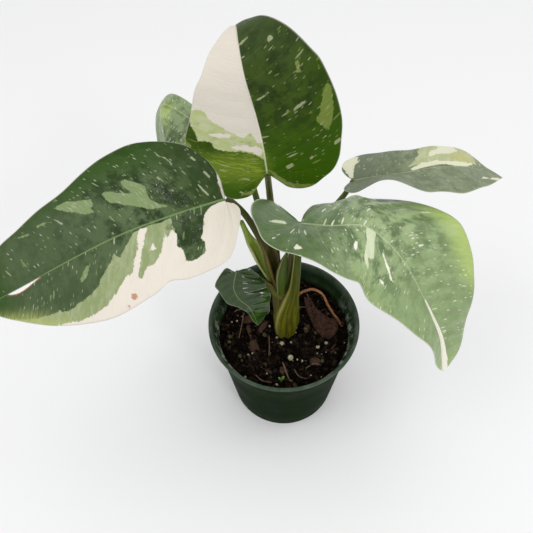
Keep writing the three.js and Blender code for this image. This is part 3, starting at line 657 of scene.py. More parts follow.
def variegation_group():
    """Green blade with lateral veins, pale and cream sectors, blotches and flecks."""
    group, t, given, result = shader_group(
        "variegated_blade",
        {
            **dict.fromkeys(BLADE_COLOURS, UNSET_GREEN),
            "Rib colour": (0.5, 0.52, 0.3),
            "Underside": (0.14, 0.22, 0.08),
            "Rib strength": 0.6,
            "Rib width": 0.4,
            "Vein spacing": 9.0,
            "Vein light": 0.05,
            "Flecks": 0.3,
            "Dashes": 0.2,
            "Fleck light": 0.5,
            "Wash": 0.3,
            "Tinge streaks": 0.5,
            "Ragged": 2.0,
            "Feather": 3.0,
            "Margin": 0.4,
            "Seed": 0.0,
        },
        ["Color", "Roughness", "Height"],
    )
    across = t.measure("across")
    along = t.measure("along")
    vein = t.measure("vein")
    away = t.math("ABSOLUTE", across)
    seed = given["Seed"]
    flat = t.place(across, along, seed)

    def drawn(width, offset):
        return t.place(t.times(across, width), vein, t.add(seed, offset))

    def centred(noise):
        return t.less(noise, 0.5)

    spread = t.noise(flat, 0.22, 6.0, 0.6)
    jagged = t.noise(flat, 0.7, 4.0, 0.7)
    strand = t.noise(drawn(0.22, 20.0), 0.8, 5.0, 0.65)
    calm = t.ramp(away, 0.0, 5.0)
    uneven = t.add(t.times(centred(spread), 6.0), t.times(centred(jagged), 4.0))
    uneven = t.times(t.times(uneven, given["Ragged"]), calm)
    fingers = t.times(t.times(centred(strand), given["Feather"]), calm)
    pale = t.ramp(t.add(t.measure("pale"), uneven), -0.3, 0.3)
    cream_depth = t.add(t.measure("cream"), t.times(uneven, 0.8))
    cream_depth = t.add(cream_depth, t.times(fingers, pale))
    cream = t.ramp(cream_depth, -0.3, 0.3)
    blotch = t.ramp(t.add(t.measure("blotch"), t.times(uneven, 0.8)), -0.3, 0.3)
    tinge = t.ramp(t.add(t.measure("tinge"), t.times(fingers, 2.0)), -7.0, 7.0)

    cloud = t.noise(drawn(0.6, 7.0), 0.16, 5.0, 0.6)
    mottle = t.noise(flat, 0.13, 6.0, 0.66)
    tone = t.add(t.times(cloud, 0.4), t.times(mottle, 0.6))
    green = t.mix(t.ramp(tone, 0.42, 0.57), given["Deep green"], given["Green"])
    # Toward the tip the green turns to Far green; on leaf a this greyer green is a painted sheen.
    distance = t.add(along, t.times(centred(mottle), 90.0))
    green = t.mix(t.ramp(distance, 30.0, 90.0, 0.0, 0.8), green, given["Far green"])
    outer = t.add(across, t.times(centred(mottle), 16.0))
    outer = t.math("MAXIMUM", t.ramp(outer, 20.0, 40.0), t.ramp(along, 118.0, 140.0))
    green = t.mix(t.times(outer, 0.8), green, given["Edge green"])
    green = t.mix(t.ramp(along, 4.0, 48.0, 0.85, 0.0), green, given["Base green"])
    dark = t.ramp(jagged, 0.56, 0.75, 0.0, 0.35)
    green = t.mix(dark, green, given["Deep green"])
    broken = t.ramp(strand, 0.42, 0.6)
    plain = t.less(1.0, given["Tinge streaks"])
    broken = t.math("MAXIMUM", broken, plain)
    green = t.mix(t.times(tinge, broken), green, given["Tinge"])
    wash = t.noise(drawn(0.45, 33.0), 0.3, 5.0, 0.6)
    washed = t.times(t.ramp(wash, 0.42, 0.66), given["Wash"])
    pale_light = t.mix(washed, given["Pale green"], given["Cream"])
    pale_light = t.mix(t.ramp(mottle, 0.5, 0.7, 0.0, 0.3), pale_light, given["Blotch"])
    pale_light = t.mix(t.times(tinge, 0.6), pale_light, given["Tinge"])
    green = t.mix(pale, green, pale_light)
    patch = t.mix(t.ramp(strand, 0.5, 0.75, 0.0, 0.35), given["Blotch"], given["Cream"])
    green = t.mix(blotch, green, patch)

    turn = t.math("DIVIDE", t.less(vein, t.times(away, VEIN_CURVE)), given["Vein spacing"])
    line = t.ramp(t.math("PINGPONG", turn, 0.5), 0.01, 0.07, 1.0, 0.0)
    line = t.times(line, t.ramp(t.measure("reach"), 0.5, 1.0, 1.0, 0.0))
    minor = t.ramp(t.math("PINGPONG", t.times(turn, 6.0), 0.5), 0.0, 0.5, 1.0, 0.0)
    light = t.add(line, t.times(minor, 0.2))
    green = t.mix(t.times(light, given["Vein light"]), green, given["Rib colour"])

    cluster = t.noise(flat, 0.06, 2.0, 0.5)

    def dashes(scale, stretch, thick, share, offset):
        """Short marks along the veins in some cells, and a random number for each cell."""
        shift = t.add(t.times(across, stretch), t.add(t.times(seed, 7.3), offset))
        bent = t.add(vein, t.times(centred(jagged), 0.8))
        cells = t.node("ShaderNodeTexVoronoi", {"Vector": t.place(shift, bent), "Scale": scale},
                       voronoi_dimensions="2D")
        chance = t.node("ShaderNodeSeparateColor", {"Color": cells.outputs["Color"]}).outputs
        crowd = t.ramp(cluster, 0.3, 0.7, 0.3, 1.7)
        wanted = t.less(1.0, t.times(share, crowd))
        radius = t.ramp(chance["Red"], wanted, 1.0, 0.0, thick)
        gap = t.less(radius, cells.outputs["Distance"])
        return t.ramp(gap, 0.0, 0.07), chance["Green"]

    fleck, fleck_tone = dashes(0.85, 0.34, 0.3, given["Flecks"], 0.0)
    dash, dash_tone = dashes(0.4, 0.22, 0.24, given["Dashes"], 40.0)
    for mark, mark_tone in ((fleck, fleck_tone), (dash, dash_tone)):
        share = t.times(t.ramp(mark_tone, 0.35, 1.0), given["Fleck light"])
        shown = t.mix(share, given["Blotch"], given["Cream"])
        green = t.mix(t.times(mark, 0.75), green, shown)
    mark = t.ramp(t.add(t.measure("mark"), t.times(centred(jagged), 1.2)), -0.1, 0.25)
    green = t.mix(mark, green, t.mix(0.25, given["Blotch"], given["Cream"]))

    cream_tint = t.mix(t.ramp(strand, 0.35, 0.8, 0.0, 0.08), given["Cream"], given["Pale green"])
    cream_tint = t.mix(t.times(minor, 0.04), cream_tint, (0.5, 0.45, 0.4))
    # Soft pinkish-grey patches on the cream are painted shade.
    cream_tint = t.mix(t.ramp(mottle, 0.5, 0.75, 0.0, 0.12), cream_tint, (0.62, 0.5, 0.45))
    painted = t.mix(cream, green, cream_tint)
    rib_width = given["Rib width"]
    rib = t.ramp(t.measure("rib"), t.times(rib_width, 0.5), rib_width, 1.0, 0.0)
    rib = t.times(rib, t.blend(cream, given["Rib strength"], 0.15))
    painted = t.mix(rib, painted, given["Rib colour"])
    # Pale line along the margin, set by Margin: a painted edge highlight.
    rim = t.ramp(t.measure("edge_gap"), 0.15, 0.6, 1.0, 0.0)
    painted = t.mix(t.times(rim, given["Margin"]), painted, given["Cream"])
    rust = t.ramp(t.add(t.measure("rust"), t.times(centred(jagged), 3.0)), -0.1, 0.6)
    painted = t.mix(t.times(rust, 0.75), painted, (0.42, 0.15, 0.05))
    under = t.measure("under")
    below = t.mix(t.times(cream, 0.7), given["Underside"], given["Cream"])
    painted = t.mix(t.times(under, 0.85), painted, below)
    t.feed(result["Color"], painted)

    rough = t.add(t.blend(cream, 0.38, 0.5), t.times(centred(spread), 0.3))
    t.feed(result["Roughness"], t.add(rough, t.times(under, 0.15)))
    grain = t.noise(flat, 2.0, 2.0, 0.6)
    height = t.add(t.times(grain, 0.12), t.times(spread, 0.6))
    height = t.add(height, t.times(jagged, 0.5))
    height = t.less(height, t.times(minor, 0.06))
    t.feed(result["Height"], t.less(height, t.times(line, 0.12)))
    return group


STALK_COLOURS = ["Skin", "Stripe", "Top tint", "Lip"]


def stalk_group():
    """Green stalk skin with lengthwise stripes and fine ribs."""
    group, t, given, result = shader_group(
        "striped_stalk",
        {
            **dict.fromkeys(STALK_COLOURS, UNSET_GREEN),
            "Stripes": 0.5,
            "Seed": 0.0,
        },
        ["Color", "Roughness", "Height"],
    )
    ring_x = t.measure("ring_x")
    ring_y = t.measure("ring_y")
    run = t.measure("run")
    seed = given["Seed"]
    drawn = t.place(t.add(ring_x, seed), ring_y, t.times(run, 0.006))
    stripes = t.noise(drawn, 3.6, 3.0, 0.6)
    ribs = t.noise(drawn, 9.0, 2.0, 0.5)
    mottle = t.noise(t.place(ring_x, ring_y, t.times(run, 0.15)), 2.0, 3.0, 0.6)
    skin = t.mix(t.ramp(t.measure("share"), 0.1, 0.95), given["Skin"], given["Top tint"])
    skin = t.mix(t.ramp(mottle, 0.4, 0.75, 0.0, 0.25), skin, given["Stripe"])
    edge = t.less(0.72, t.times(given["Stripes"], 0.25))
    stripe = t.ramp(t.less(stripes, edge), -0.08, 0.08)
    skin = t.mix(t.times(stripe, 0.7), skin, given["Stripe"])
    # Lip colour along channel edges and the seam; on leaf c's petiole the seam is a painted
    # highlight.
    skin = t.mix(t.measure("lip"), skin, given["Lip"])
    t.feed(result["Color"], skin)
    t.feed(result["Roughness"], t.ramp(mottle, 0.2, 0.8, 0.38, 0.55))
    t.feed(result["Height"], t.add(t.times(ribs, 0.2), stripes))
    return group


def crumb_group():
    """Crumbly matter, with painted shade darkening its hollows."""
    group, t, given, result = shader_group(
        "crumb_grain",
        {
            "Dark": (0.01, 0.007, 0.005),
            "Light": (0.05, 0.03, 0.018),
            "Dry": (0.14, 0.09, 0.05),
            "Dry share": 0.2,
            "Scale": 500.0,
        },
        ["Color", "Roughness", "Height"],
    )
    where = t.node("ShaderNodeTexCoord").outputs["Object"]
    coarse = t.noise(where, given["Scale"], 4.0, 0.7)
    fine = t.noise(where, t.times(given["Scale"], 4.0), 3.0, 0.7)
    tone = t.measure("tone")
    # Darker where the bump is low: painted shade in the hollows.
    mixed = t.mix(t.ramp(coarse, 0.35, 0.65), given["Dark"], given["Light"])
    dry = t.times(t.ramp(t.add(fine, t.times(tone, 0.3)), 0.5, 0.75), given["Dry share"])
    t.feed(result["Color"], t.mix(dry, mixed, given["Dry"]))
    t.feed(result["Roughness"], t.ramp(fine, 0.2, 0.8, 0.65, 0.95))
    t.feed(result["Height"], t.add(coarse, t.times(fine, 0.5)))
    return group


def finish_with(name, group, values, bump, **constants):
    """Material from a shader group with its own values, a bump and constant shader sockets."""
    material, t, shader = new_finish(name)
    made = t.node("ShaderNodeGroup", node_tree=group)
    for label, value in values.items():
        t.feed(made.inputs[label], value)
    t.feed(shader.inputs["Base Color"], made.outputs["Color"])
    t.feed(shader.inputs["Roughness"], made.outputs["Roughness"])
    relief = t.node("ShaderNodeBump", {"Height": made.outputs["Height"], "Distance": bump})
    t.feed(shader.inputs["Normal"], relief.outputs["Normal"])
    for label, value in constants.items():
        shader.inputs[label.replace("_", " ")].default_value = value
    return material


blade_group = variegation_group()
# Each blade's colours in the order of BLADE_COLOURS, its strengths, shine, coat and coat roughness
LEAF_FINISH = {
    # Leaf a's far green is a painted sheen over its curled top.
    "a": ([(0.018, 0.034, 0.006), (0.042, 0.08, 0.005), (0.036, 0.095, 0.0), (0.045, 0.07, 0.022),
           (0.03, 0.07, 0.002), (0.43, 0.49, 0.22), (0.15, 0.205, 0.035), (0.22, 0.3, 0.03),
           (0.69, 0.64, 0.56)],
          {"Flecks": 0.2, "Dashes": 0.1, "Fleck light": 0.35, "Ragged": 0.6, "Vein light": 0.02,
           "Rib width": 0.45, "Seed": 3.0},
          0.06, 0.0, 0.22),
    "b": ([(0.018, 0.036, 0.01), (0.11, 0.16, 0.07), (0.032, 0.06, 0.014), (0.065, 0.1, 0.042),
           (0.022, 0.065, 0.002), (0.27, 0.33, 0.15), (0.2, 0.27, 0.115), (0.5, 0.54, 0.18),
           (0.78, 0.72, 0.63)],
          {"Flecks": 0.22, "Dashes": 0.14, "Fleck light": 0.4, "Ragged": 0.5, "Wash": 0.16,
           "Vein light": 0.03, "Rib colour": (0.2, 0.3, 0.12), "Rib width": 0.5,
           "Rib strength": 0.8, "Tinge streaks": 0.3, "Seed": 11.0},
          0.12, 0.0, 0.22),
    "c": ([(0.075, 0.135, 0.035), (0.34, 0.45, 0.21), (0.08, 0.14, 0.045), (0.2, 0.29, 0.11),
           (0.27, 0.38, 0.12), (0.5, 0.6, 0.3), (0.6, 0.67, 0.44), (0.38, 0.5, 0.13),
           (0.87, 0.84, 0.72)],
          {"Flecks": 0.22, "Dashes": 0.2, "Fleck light": 1.0, "Ragged": 0.4,
           "Rib colour": (0.5, 0.58, 0.32), "Vein light": 0.1, "Margin": 0.45, "Rib width": 0.5,
           "Tinge streaks": 0.15, "Seed": 23.0},
          0.5, 0.25, 0.2),
    "d": ([(0.12, 0.16, 0.08), (0.22, 0.265, 0.155), (0.12, 0.15, 0.09), (0.17, 0.21, 0.12),
           (0.17, 0.22, 0.1), (0.4, 0.44, 0.22), (0.4, 0.46, 0.26), (0.5, 0.46, 0.1),
           (0.7, 0.7, 0.52)],
          {"Flecks": 0.22, "Dashes": 0.12, "Ragged": 0.8, "Feather": 4.0, "Seed": 31.0},
          0.3, 0.0, 0.22),
    "e": ([(0.1, 0.15, 0.06), (0.3, 0.39, 0.2), (0.12, 0.18, 0.06), (0.18, 0.25, 0.11),
           (0.18, 0.26, 0.09), (0.3, 0.38, 0.17), (0.5, 0.54, 0.4), (0.35, 0.48, 0.06),
           (0.8, 0.76, 0.66)],
          {"Flecks": 0.35, "Fleck light": 1.0, "Ragged": 0.6, "Seed": 43.0},
          0.3, 0.0, 0.22),
    "f": ([(0.008, 0.028, 0.001), (0.03, 0.085, 0.004), (0.025, 0.055, 0.01), (0.045, 0.13, 0.002),
           (0.03, 0.09, 0.004), (0.25, 0.32, 0.12), (0.2, 0.3, 0.1), (0.3, 0.4, 0.06),
           (0.8, 0.76, 0.66)],
          {"Flecks": 0.02, "Dashes": 0.02, "Ragged": 0.6, "Vein light": 0.12,
           "Rib colour": (0.22, 0.3, 0.12), "Rib width": 0.35, "Margin": 0.2, "Seed": 57.0},
          0.1, 0.8, 0.07),
}

for letter, leaf in LEAVES.items():
    colours, strengths, shine, coat, coat_rough = LEAF_FINISH[letter]
    values = {**dict(zip(BLADE_COLOURS, colours)), **strengths, "Vein spacing": RELIEF[letter][0]}
    finish = finish_with(f"leaf_{letter}_skin", blade_group, values, 0.4 * MM,
                         Specular_IOR_Level=shine, Coat_Weight=coat, Coat_Roughness=coat_rough)
    add_piece(f"leaf_{letter}_waxy_blade", blade_points(leaf, RELIEF[letter]), finish,
              replaces=[f"leaf_{letter}_blade"])

# Places of the water drops on leaf b: side, across, along, half length
DROPS = [(1, 19, 33, 1.7), (1, 17, 30, 1.2), (1, 14, 31, 2.0), (1, 12, 27.5, 1.4),
         (1, 9.5, 29, 1.9), (1, 7, 27, 1.5), (1, 5, 20, 1.7), (1, 8, 21.5, 1.2),
         (1, 3.5, 24, 1.3), (1, 11, 23, 1.0), (-1, 2.5, 21, 1.6), (-1, 5, 16.5, 1.4),
         (-1, 11, 18, 1.7), (-1, 5.5, 24.5, 1.9), (-1, 8.5, 25, 1.2), (-1, 6, 33, 1.5),
         (-1, 9, 29, 1.3), (-1, 13, 22, 1.2), (-1, 17, 23, 1.5), (1, 22, 36, 0.9),
         (1, 24, 31, 0.7), (1, 16, 25, 0.8), (-1, 15, 27.5, 0.9), (-1, 3, 29, 0.8)]


def water_drops():
    chance = np.random.default_rng(53)
    blade = Blade(LEAVES["b"])
    ball, faces = round_stone(3)
    parts = []
    for side, across, along, size in DROPS:
        across = np.array([float(across)])
        along = np.array([float(along)])
        centre = blade.at(side, across, along)[0]
        up = blade.normal(side, across, along)[0]
        stray = 0.2 * chance.normal(size=3)
        long_way = unit(blade.at(side, across, along + 0.5)[0] - centre + stray)
        long_way = unit(long_way - (long_way @ up) * up)
        wide_way = np.cross(up, long_way)
        wave = 1 + 0.14 * np.sin(3 * np.arctan2(ball[:, 1], ball[:, 0]) + chance.uniform(0, 6))
        size = 1.5 * size
        flat = ball * [size, size * chance.uniform(0.5, 0.85), 0.8] * wave[:, None] ** [1, 1, 0]
        points = centre + up * 0.2 + flat @ np.array([long_way, wide_way, up])
        parts.append((points, faces, {}))
    return merged(parts)


# Routes of the stalks with radii; open is how far a channel is hollowed, toward one side. Ribs are
# their count, depth and twist, and seam is the angle of a pale line along the stalk.
LIP_WIDTH = 0.16
STALKS = {
    "stem": {
        "route": [(0.5, 3, 58), (0.5, 2.5, 82), (-1, 1.5, 105), (-2.5, 0, 128), (-3.2, -1.2, 142)],
        "radius": [5.5, 6, 6, 5.6, 4.6],
    },
    "leaf_c_petiole": {
        "route": [(1.3, -0.5, 81), (1.5, -0.8, 95), (2.2, -1.8, 112), (4, -3.4, 128),
                  (6.2, -4.6, 146), (7, -5.5, 165), (7.4, -6.2, 182), (7.8, -7.4, 198),
                  (7.6, -7.7, 208.5)],
        "radius": [7.4, 8.8, 7.8, 5.6, 3.6, 3, 2.5, 2.1, 1.8],
        "ribs": (9, 0.045, -1.6),
        "sides": 108,
        # This seam is a painted highlight down the stalk's front-left side.
        "seam": 2.5,
    },
    "leaf_a_petiole": {
        "route": [(-3.6, 1.8, 140), (-4.6, 3.6, 158), (-5.6, 7, 176), (-6.8, 10.6, 194),
                  (-7.8, 12.2, 211), (-8.5, 8.8, 225), (-8.9, 3.5, 235.4)],
        "radius": [3, 2.8, 2.5, 2.2, 2, 1.8, 1.7],
    },
    "young_sheath_front": {
        "route": [(-2.6, -6.2, 141), (-2.4, -6.8, 153), (-2, -7.2, 165), (-0.6, -6.8, 175),
                  (1.2, -6.2, 181.5)],
        "radius": [2.4, 3, 3.3, 2.4, 0.8],
        "seam": 2.5,
    },
    "young_sheath_back": {
        "route": [(1.5, -0.5, 141), (2.6, -0.8, 155), (3.6, -1.4, 170), (4.2, -2, 184)],
        "radius": [2.4, 2.6, 1.8, 0.7],
    },
    "leaf_d_petiole": {
        "route": [(0.5, 3.4, 138), (6, 8, 158), (16, 15, 172), (27, 22.5, 181), (37, 31, 187.5),
                  (42, 37.5, 189.5), (44.3, 41.4, 190.8)],
        "radius": [2.8, 2.6, 2.2, 2, 1.8, 1.7, 1.6],
    },
    "leaf_e_petiole": {
        "route": [(-4, 4, 138), (-8, 11, 158), (-12.5, 21, 180), (-17.5, 31, 200),
                  (-21.6, 37.6, 213.6)],
        "radius": [2.8, 2.5, 2.1, 1.9, 1.6],
    },
    "leaf_f_petiole": {
        "route": [(-2.4, -4.4, 133.5), (-5.7, -4.1, 138.7), (-9.5, -2.5, 141.6),
                  (-13.9, -0.2, 143.8), (-18.6, 0.9, 147.1), (-22.9, 1.4, 150.9),
                  (-26.8, 0.9, 154.4), (-29.6, -1.2, 157.4)],
        "radius": [2.8, 3.1, 3.1, 2.5, 1.9, 1.5, 1.3, 1.1],
        "seam": 0.3,
    },
    "leaf_b_petiole": {
        "route": [(-4, -1.6, 134), (-4.5, -2.6, 150), (-5.8, -3.6, 165), (-8.4, -3.5, 180),
                  (-15.5, -2, 196), (-22, 0.5, 209), (-28, 2.8, 216), (-31.6, 3.8, 217.5)],
        "radius": [2.8, 3.4, 4.7, 5.5, 3.7, 2.2, 1.8, 1.6],
        "open": [0, 0.4, 0.9, 1, 0.7, 0.1, 0, 0],
        "wall": 1.6,
        "toward": (0.8, -0.5, 0.3),
    },
    "leaf_b_sheath": {
        "route": [(-4.3, 0.6, 132.5), (-7.6, 1.5, 141.5), (-10.4, 1.6, 149.5),
                  (-13.5, 1.4, 162.5), (-16.4, 1, 176), (-20.2, 0.8, 187), (-24.2, 1, 202.4)],
        "radius": [2.2, 1.9, 2.5, 3.7, 3.8, 2.1, 1.3],
        "open": [0, 0.3, 0.8, 1, 1, 0.3, 0],
        "wall": 1.3,
        "toward": (0.6, -0.7, 0.3),
    },
    "aerial_root": {
        "route": [(4, 7.5, 108), (11, 9.4, 114.2), (15.3, 11, 115.6), (20.3, 12, 115.8),
                  (24.6, 11.8, 113.8), (28.8, 11, 108.4), (31.6, 9.4, 100.8), (36.6, 7.2, 90.6),
                  (41.2, 4.2, 84), (44.4, 0.8, 78)],
        "radius": [1.2, 1, 0.9, 0.9, 0.85, 0.85, 0.85, 0.85, 0.85, 0.85],
    },
}


def stalk_points(stalk, sides=36, spacing=1.2, knobs=0.0, seed=1):
    """Closed tube along a route, hollowed into a channel where it is open."""
    sides = stalk.get("sides", sides)
    route = smooth_curve(stalk["route"], 24)
    lengths = running_length(route)
    rows = int(lengths[-1] / spacing) + 1
    run = np.linspace(0, lengths[-1], rows)
    centre = at_lengths(route, lengths, run)
    share = run / lengths[-1]
    stations = len(stalk["radius"]) - 1
    knots = smooth_curve(np.array(stalk["radius"], float)[:, None], 8)[:, 0]
    radius = np.interp(share * stations, np.linspace(0, stations, len(knots)), knots)
    opened = between(stalk.get("open", [0]), share)
    ahead = unit(np.gradient(centre, axis=0))
    side = np.asarray(stalk.get("toward", (0, -1, 0)), float)
    sides_kept = []
    for forward in ahead:
        side = unit(side - (side @ forward) * forward)
        sides_kept.append(side)
    side = np.array(sides_kept)
    out = np.cross(ahead, side)
    angle = np.arange(sides) * 2 * math.pi / sides
    ring_x, ring_y = np.cos(angle), np.sin(angle)
    count, depth, twist = stalk.get("ribs", (0, 0, 0))
    ribbed = np.cos(count * angle + twist * share[:, None])
    ribbed = ribbed + 0.6 * np.cos((count - 4) * angle + 0.7 * twist * share[:, None] + 1)
    ribbed = 1 + depth * ribbed * (1 - ramp(0.2, 0.7, share))[:, None]
    wall = stalk.get("wall", 1.0)
    inner = np.maximum(radius - wall, 0.2)[:, None]
    across = radius[:, None] * ring_x * ribbed
    up = radius[:, None] * ring_y * ribbed
    hollow = np.where(ring_y > 0, opened[:, None], 0)
    across = across + hollow * (inner * ring_x - across)
    up = up + hollow * (-inner * ring_y - up)
    if knobs:
        bumps = 1 + knobs * lumpy(run[:, None] + 0 * angle, 3 * angle + 0 * run[:, None], 2, seed)
        across, up = across * bumps, up * bumps
    points = centre[:, None] + out[:, None] * across[..., None] + side[:, None] * up[..., None]
    lip = opened[:, None] * np.exp(-((ring_y / LIP_WIDTH) ** 2)) * (np.abs(ring_x) > 0.5)
    if "seam" in stalk:
        turned = np.angle(np.exp(1j * (angle - stalk["seam"])))
        lip = lip + 0.8 * np.exp(-((turned / LIP_WIDTH) ** 2))
    foot, tip = points.mean(1)[0], points.mean(1)[-1]
    points = np.vstack([points.reshape(-1, 3), foot, tip])
    faces = grid_faces(rows, sides, closed=True).tolist()
    last = rows * sides
    faces += fan_faces(0, sides, last, flipped=True) + fan_faces(last - sides, sides, last + 1)

    def spread(values):
        return np.r_[np.broadcast_to(values, (rows, sides)).ravel(), 0, 0]

    measures = {
        "ring_x": spread(ring_x),
        "ring_y": spread(ring_y),
        "run": spread(run[:, None]),
        "share": spread(share[:, None]),
        "lip": spread(lip),
        "tone": spread(ring_y * 0.3),
    }
    return points, faces, measures


stalk_skin = stalk_group()
PLAIN_LIP = (0.6, 0.55, 0.35)
# Slot, the colours in the order of STALK_COLOURS, and how much of the skin is striped
STALK_FINISH = {
    "stem": ("stem", (0.07, 0.08, 0.015), (0.03, 0.035, 0.01), (0.12, 0.1, 0.03), PLAIN_LIP, 0.6),
    # Leaf c's petiole lip colour is its painted seam highlight.
    "leaf_c_petiole": ("petiole", (0.15, 0.145, 0.01), (0.028, 0.032, 0.004),
                       (0.045, 0.08, 0.006), (0.4, 0.38, 0.12), 0.85),
    "leaf_a_petiole": ("petiole", (0.05, 0.055, 0.01), (0.02, 0.02, 0.005), (0.1, 0.11, 0.02),
                       PLAIN_LIP, 0.8),
    "leaf_b_petiole": ("petiole", (0.07, 0.06, 0.01), (0.03, 0.02, 0.006), (0.06, 0.075, 0.015),
                       (0.2, 0.13, 0.04), 0.7),
    "leaf_d_petiole": ("petiole", (0.06, 0.08, 0.01), (0.03, 0.04, 0.006), (0.1, 0.13, 0.02),
                       PLAIN_LIP, 0.5),
    "leaf_e_petiole": ("petiole", (0.05, 0.07, 0.01), (0.03, 0.04, 0.006), (0.08, 0.11, 0.02),
                       PLAIN_LIP, 0.5),
    "leaf_f_petiole": ("petiole", (0.09, 0.1, 0.015), (0.06, 0.035, 0.01), (0.1, 0.13, 0.03),
                       (0.36, 0.17, 0.1), 0.5),
    "leaf_b_sheath": ("sheath", (0.24, 0.32, 0.04), (0.05, 0.09, 0.01), (0.28, 0.38, 0.06),
                      (0.6, 0.55, 0.34), 0.6),
    "young_sheath_front": ("sheath", (0.05, 0.085, 0.008), (0.02, 0.035, 0.004),
                           (0.06, 0.09, 0.015), (0.34, 0.3, 0.16), 0.6),
    "young_sheath_back": ("sheath", (0.06, 0.1, 0.012), (0.03, 0.05, 0.008), (0.2, 0.17, 0.08),
                          PLAIN_LIP, 0.5),
}
for k, (name, (slot, *colours, striped)) in enumerate(STALK_FINISH.items()):
    values = {**dict(zip(STALK_COLOURS, colours)), "Stripes": striped, "Seed": 1.0 + 4 * k}
    finish = finish_with(f"{name}_skin", stalk_skin, values, 0.2 * MM, Specular_IOR_Level=0.1)
    add_piece(f"{name}_ribbed", stalk_points(STALKS[name]), finish, replaces=[name])

crumbs = crumb_group()


def crumb_finish(name, dark, light, dry, dry_share, scale, bump, **constants):
    values = {"Dark": dark, "Light": light, "Dry": dry, "Dry share": dry_share, "Scale": scale}
    return finish_with(name, crumbs, values, bump * MM, **constants)


root_bark = crumb_finish("aerial_root_bark", (0.16, 0.055, 0.018), (0.42, 0.16, 0.05),
                         (0.6, 0.32, 0.15), 0.5, 600.0, 0.3)
add_piece("aerial_root_knobbly", stalk_points(STALKS["aerial_root"], 20, 0.8, 0.18, 5),
          root_bark, replaces=["aerial_root"])

# Radius and height of the nursery pot's wall, from the base's middle out, up and back inside
POT_PROFILE = [
    (0, 0), (20, 0), (39.2, 0), (40.4, 0.4), (41, 1.4), (43, 20.4), (45, 40.3), (47, 60.2),
    (49.5, 83), (50.2, 83.8), (51.3, 84.2), (51.6, 86), (52.5, 92.2), (53, 93), (53.9, 93.6),
    (54.1, 94.4), (54, 95.3), (53.5, 95.9), (52.6, 96), (51.9, 95.5), (51.6, 94), (50.6, 89),
    (49.8, 85.6), (48.9, 84.3), (47.9, 83.8), (45.2, 56), (42.3, 28), (39.9, 4), (39.2, 2.6),
    (38, 2.4), (20, 2.4), (0, 2.4),
]


POT_RIM_ROW = 18
POT_LIP_FOOT = 92.8


def pot_points(around=192):
    profile = np.array(POT_PROFILE, float)
    angle = np.arange(around) * 2 * math.pi / around
    radius = profile[:, :1]
    points = np.stack([radius * np.cos(angle), radius * np.sin(angle),
                       np.broadcast_to(profile[:, 1:], (len(profile), around))], -1)
    inner = np.repeat((np.arange(len(profile)) > POT_RIM_ROW).astype(float), around)
    faces = grid_faces(len(profile), around, closed=True, flipped=True)
    flat = points.reshape(-1, 3)
    first, kept = welded(flat, faces)
    # Lip marks the rounded rim top, which is painted paler as a highlight.
    lip = np.repeat((profile[:, 1] > POT_LIP_FOOT).astype(float), around)
    return flat[first], kept, {"inner": inner[first], "lip": lip[first]}


def pot_plastic():
    """Dusted dark green moulded plastic, with painted light on its lip and inner wall sides."""
    material, t, shader = new_finish("dusted_green_plastic_with_painted_light")
    where = t.node("ShaderNodeTexCoord").outputs["Object"]
    x, y, z = t.node("ShaderNodeSeparateXYZ", {0: where}).outputs
    cloud = t.noise(where, 60.0, 5.0, 0.65)
    scuff = t.noise(t.place(t.times(x, 3.0), t.times(y, 3.0), z), 260.0, 4.0, 0.7)
    speck = t.noise(where, 900.0, 2.0, 0.6)
    inner = t.measure("inner")
    green = t.mix(t.ramp(cloud, 0.35, 0.7), (0.002, 0.009, 0.001), (0.005, 0.017, 0.002))
    bare = t.mix(t.ramp(cloud, 0.3, 0.7), (0.008, 0.022, 0.006), (0.02, 0.042, 0.016))
    green = t.mix(inner, green, bare)
    # The lip is paler: partly dusting, partly a painted highlight along the rim.
    lip_dust_and_highlight = t.mix(t.ramp(cloud, 0.3, 0.7), (0.035, 0.06, 0.035), (0.1, 0.13, 0.095))
    green = t.mix(t.measure("lip"), green, lip_dust_and_highlight)
    # Streaks low on the inner wall's sides, fading toward the top and the back: partly dusting,
    # partly painted light.
    run = t.noise(t.place(x, y, t.times(z, 0.4)), 170.0, 5.0, 0.7)
    low = t.times(t.ramp(z, 0.08, 0.094, 1.0, 0.2), t.ramp(y, 0.0, 0.03, 1.0, 0.06))
    painted_light_and_dust = t.times(t.times(inner, low), t.ramp(run, 0.46, 0.6, 0.0, 0.8))
    painted_light_and_dust = t.add(painted_light_and_dust, t.times(t.ramp(scuff, 0.55, 0.8), 0.006))
    painted_light_and_dust_colour = t.mix(painted_light_and_dust, green, (0.36, 0.37, 0.32))
    painted_light_and_dust_colour = t.mix(t.ramp(speck, 0.72, 0.76, 0.0, 0.35), painted_light_and_dust_colour, (0.3, 0.3, 0.25))
    t.feed(shader.inputs["Base Color"], painted_light_and_dust_colour)
    t.feed(shader.inputs["Roughness"], t.add(t.ramp(cloud, 0.3, 0.7, 0.4, 0.55), painted_light_and_dust))
    relief = t.node("ShaderNodeBump", {"Height": t.add(cloud, scuff), "Distance": 0.1 * MM})
    t.feed(shader.inputs["Normal"], relief.outputs["Normal"])
    shader.inputs["IOR"].default_value = 1.05
    return material


pot = add_piece("nursery_pot", pot_points(), pot_plastic(), replaces=["pot"], sharp=40)

DRAIN_HOLES = 6
DRAIN_CIRCLE = 28
DRAIN_RADIUS = 4
DRILL_ENDS = (-2.0, 5.0)


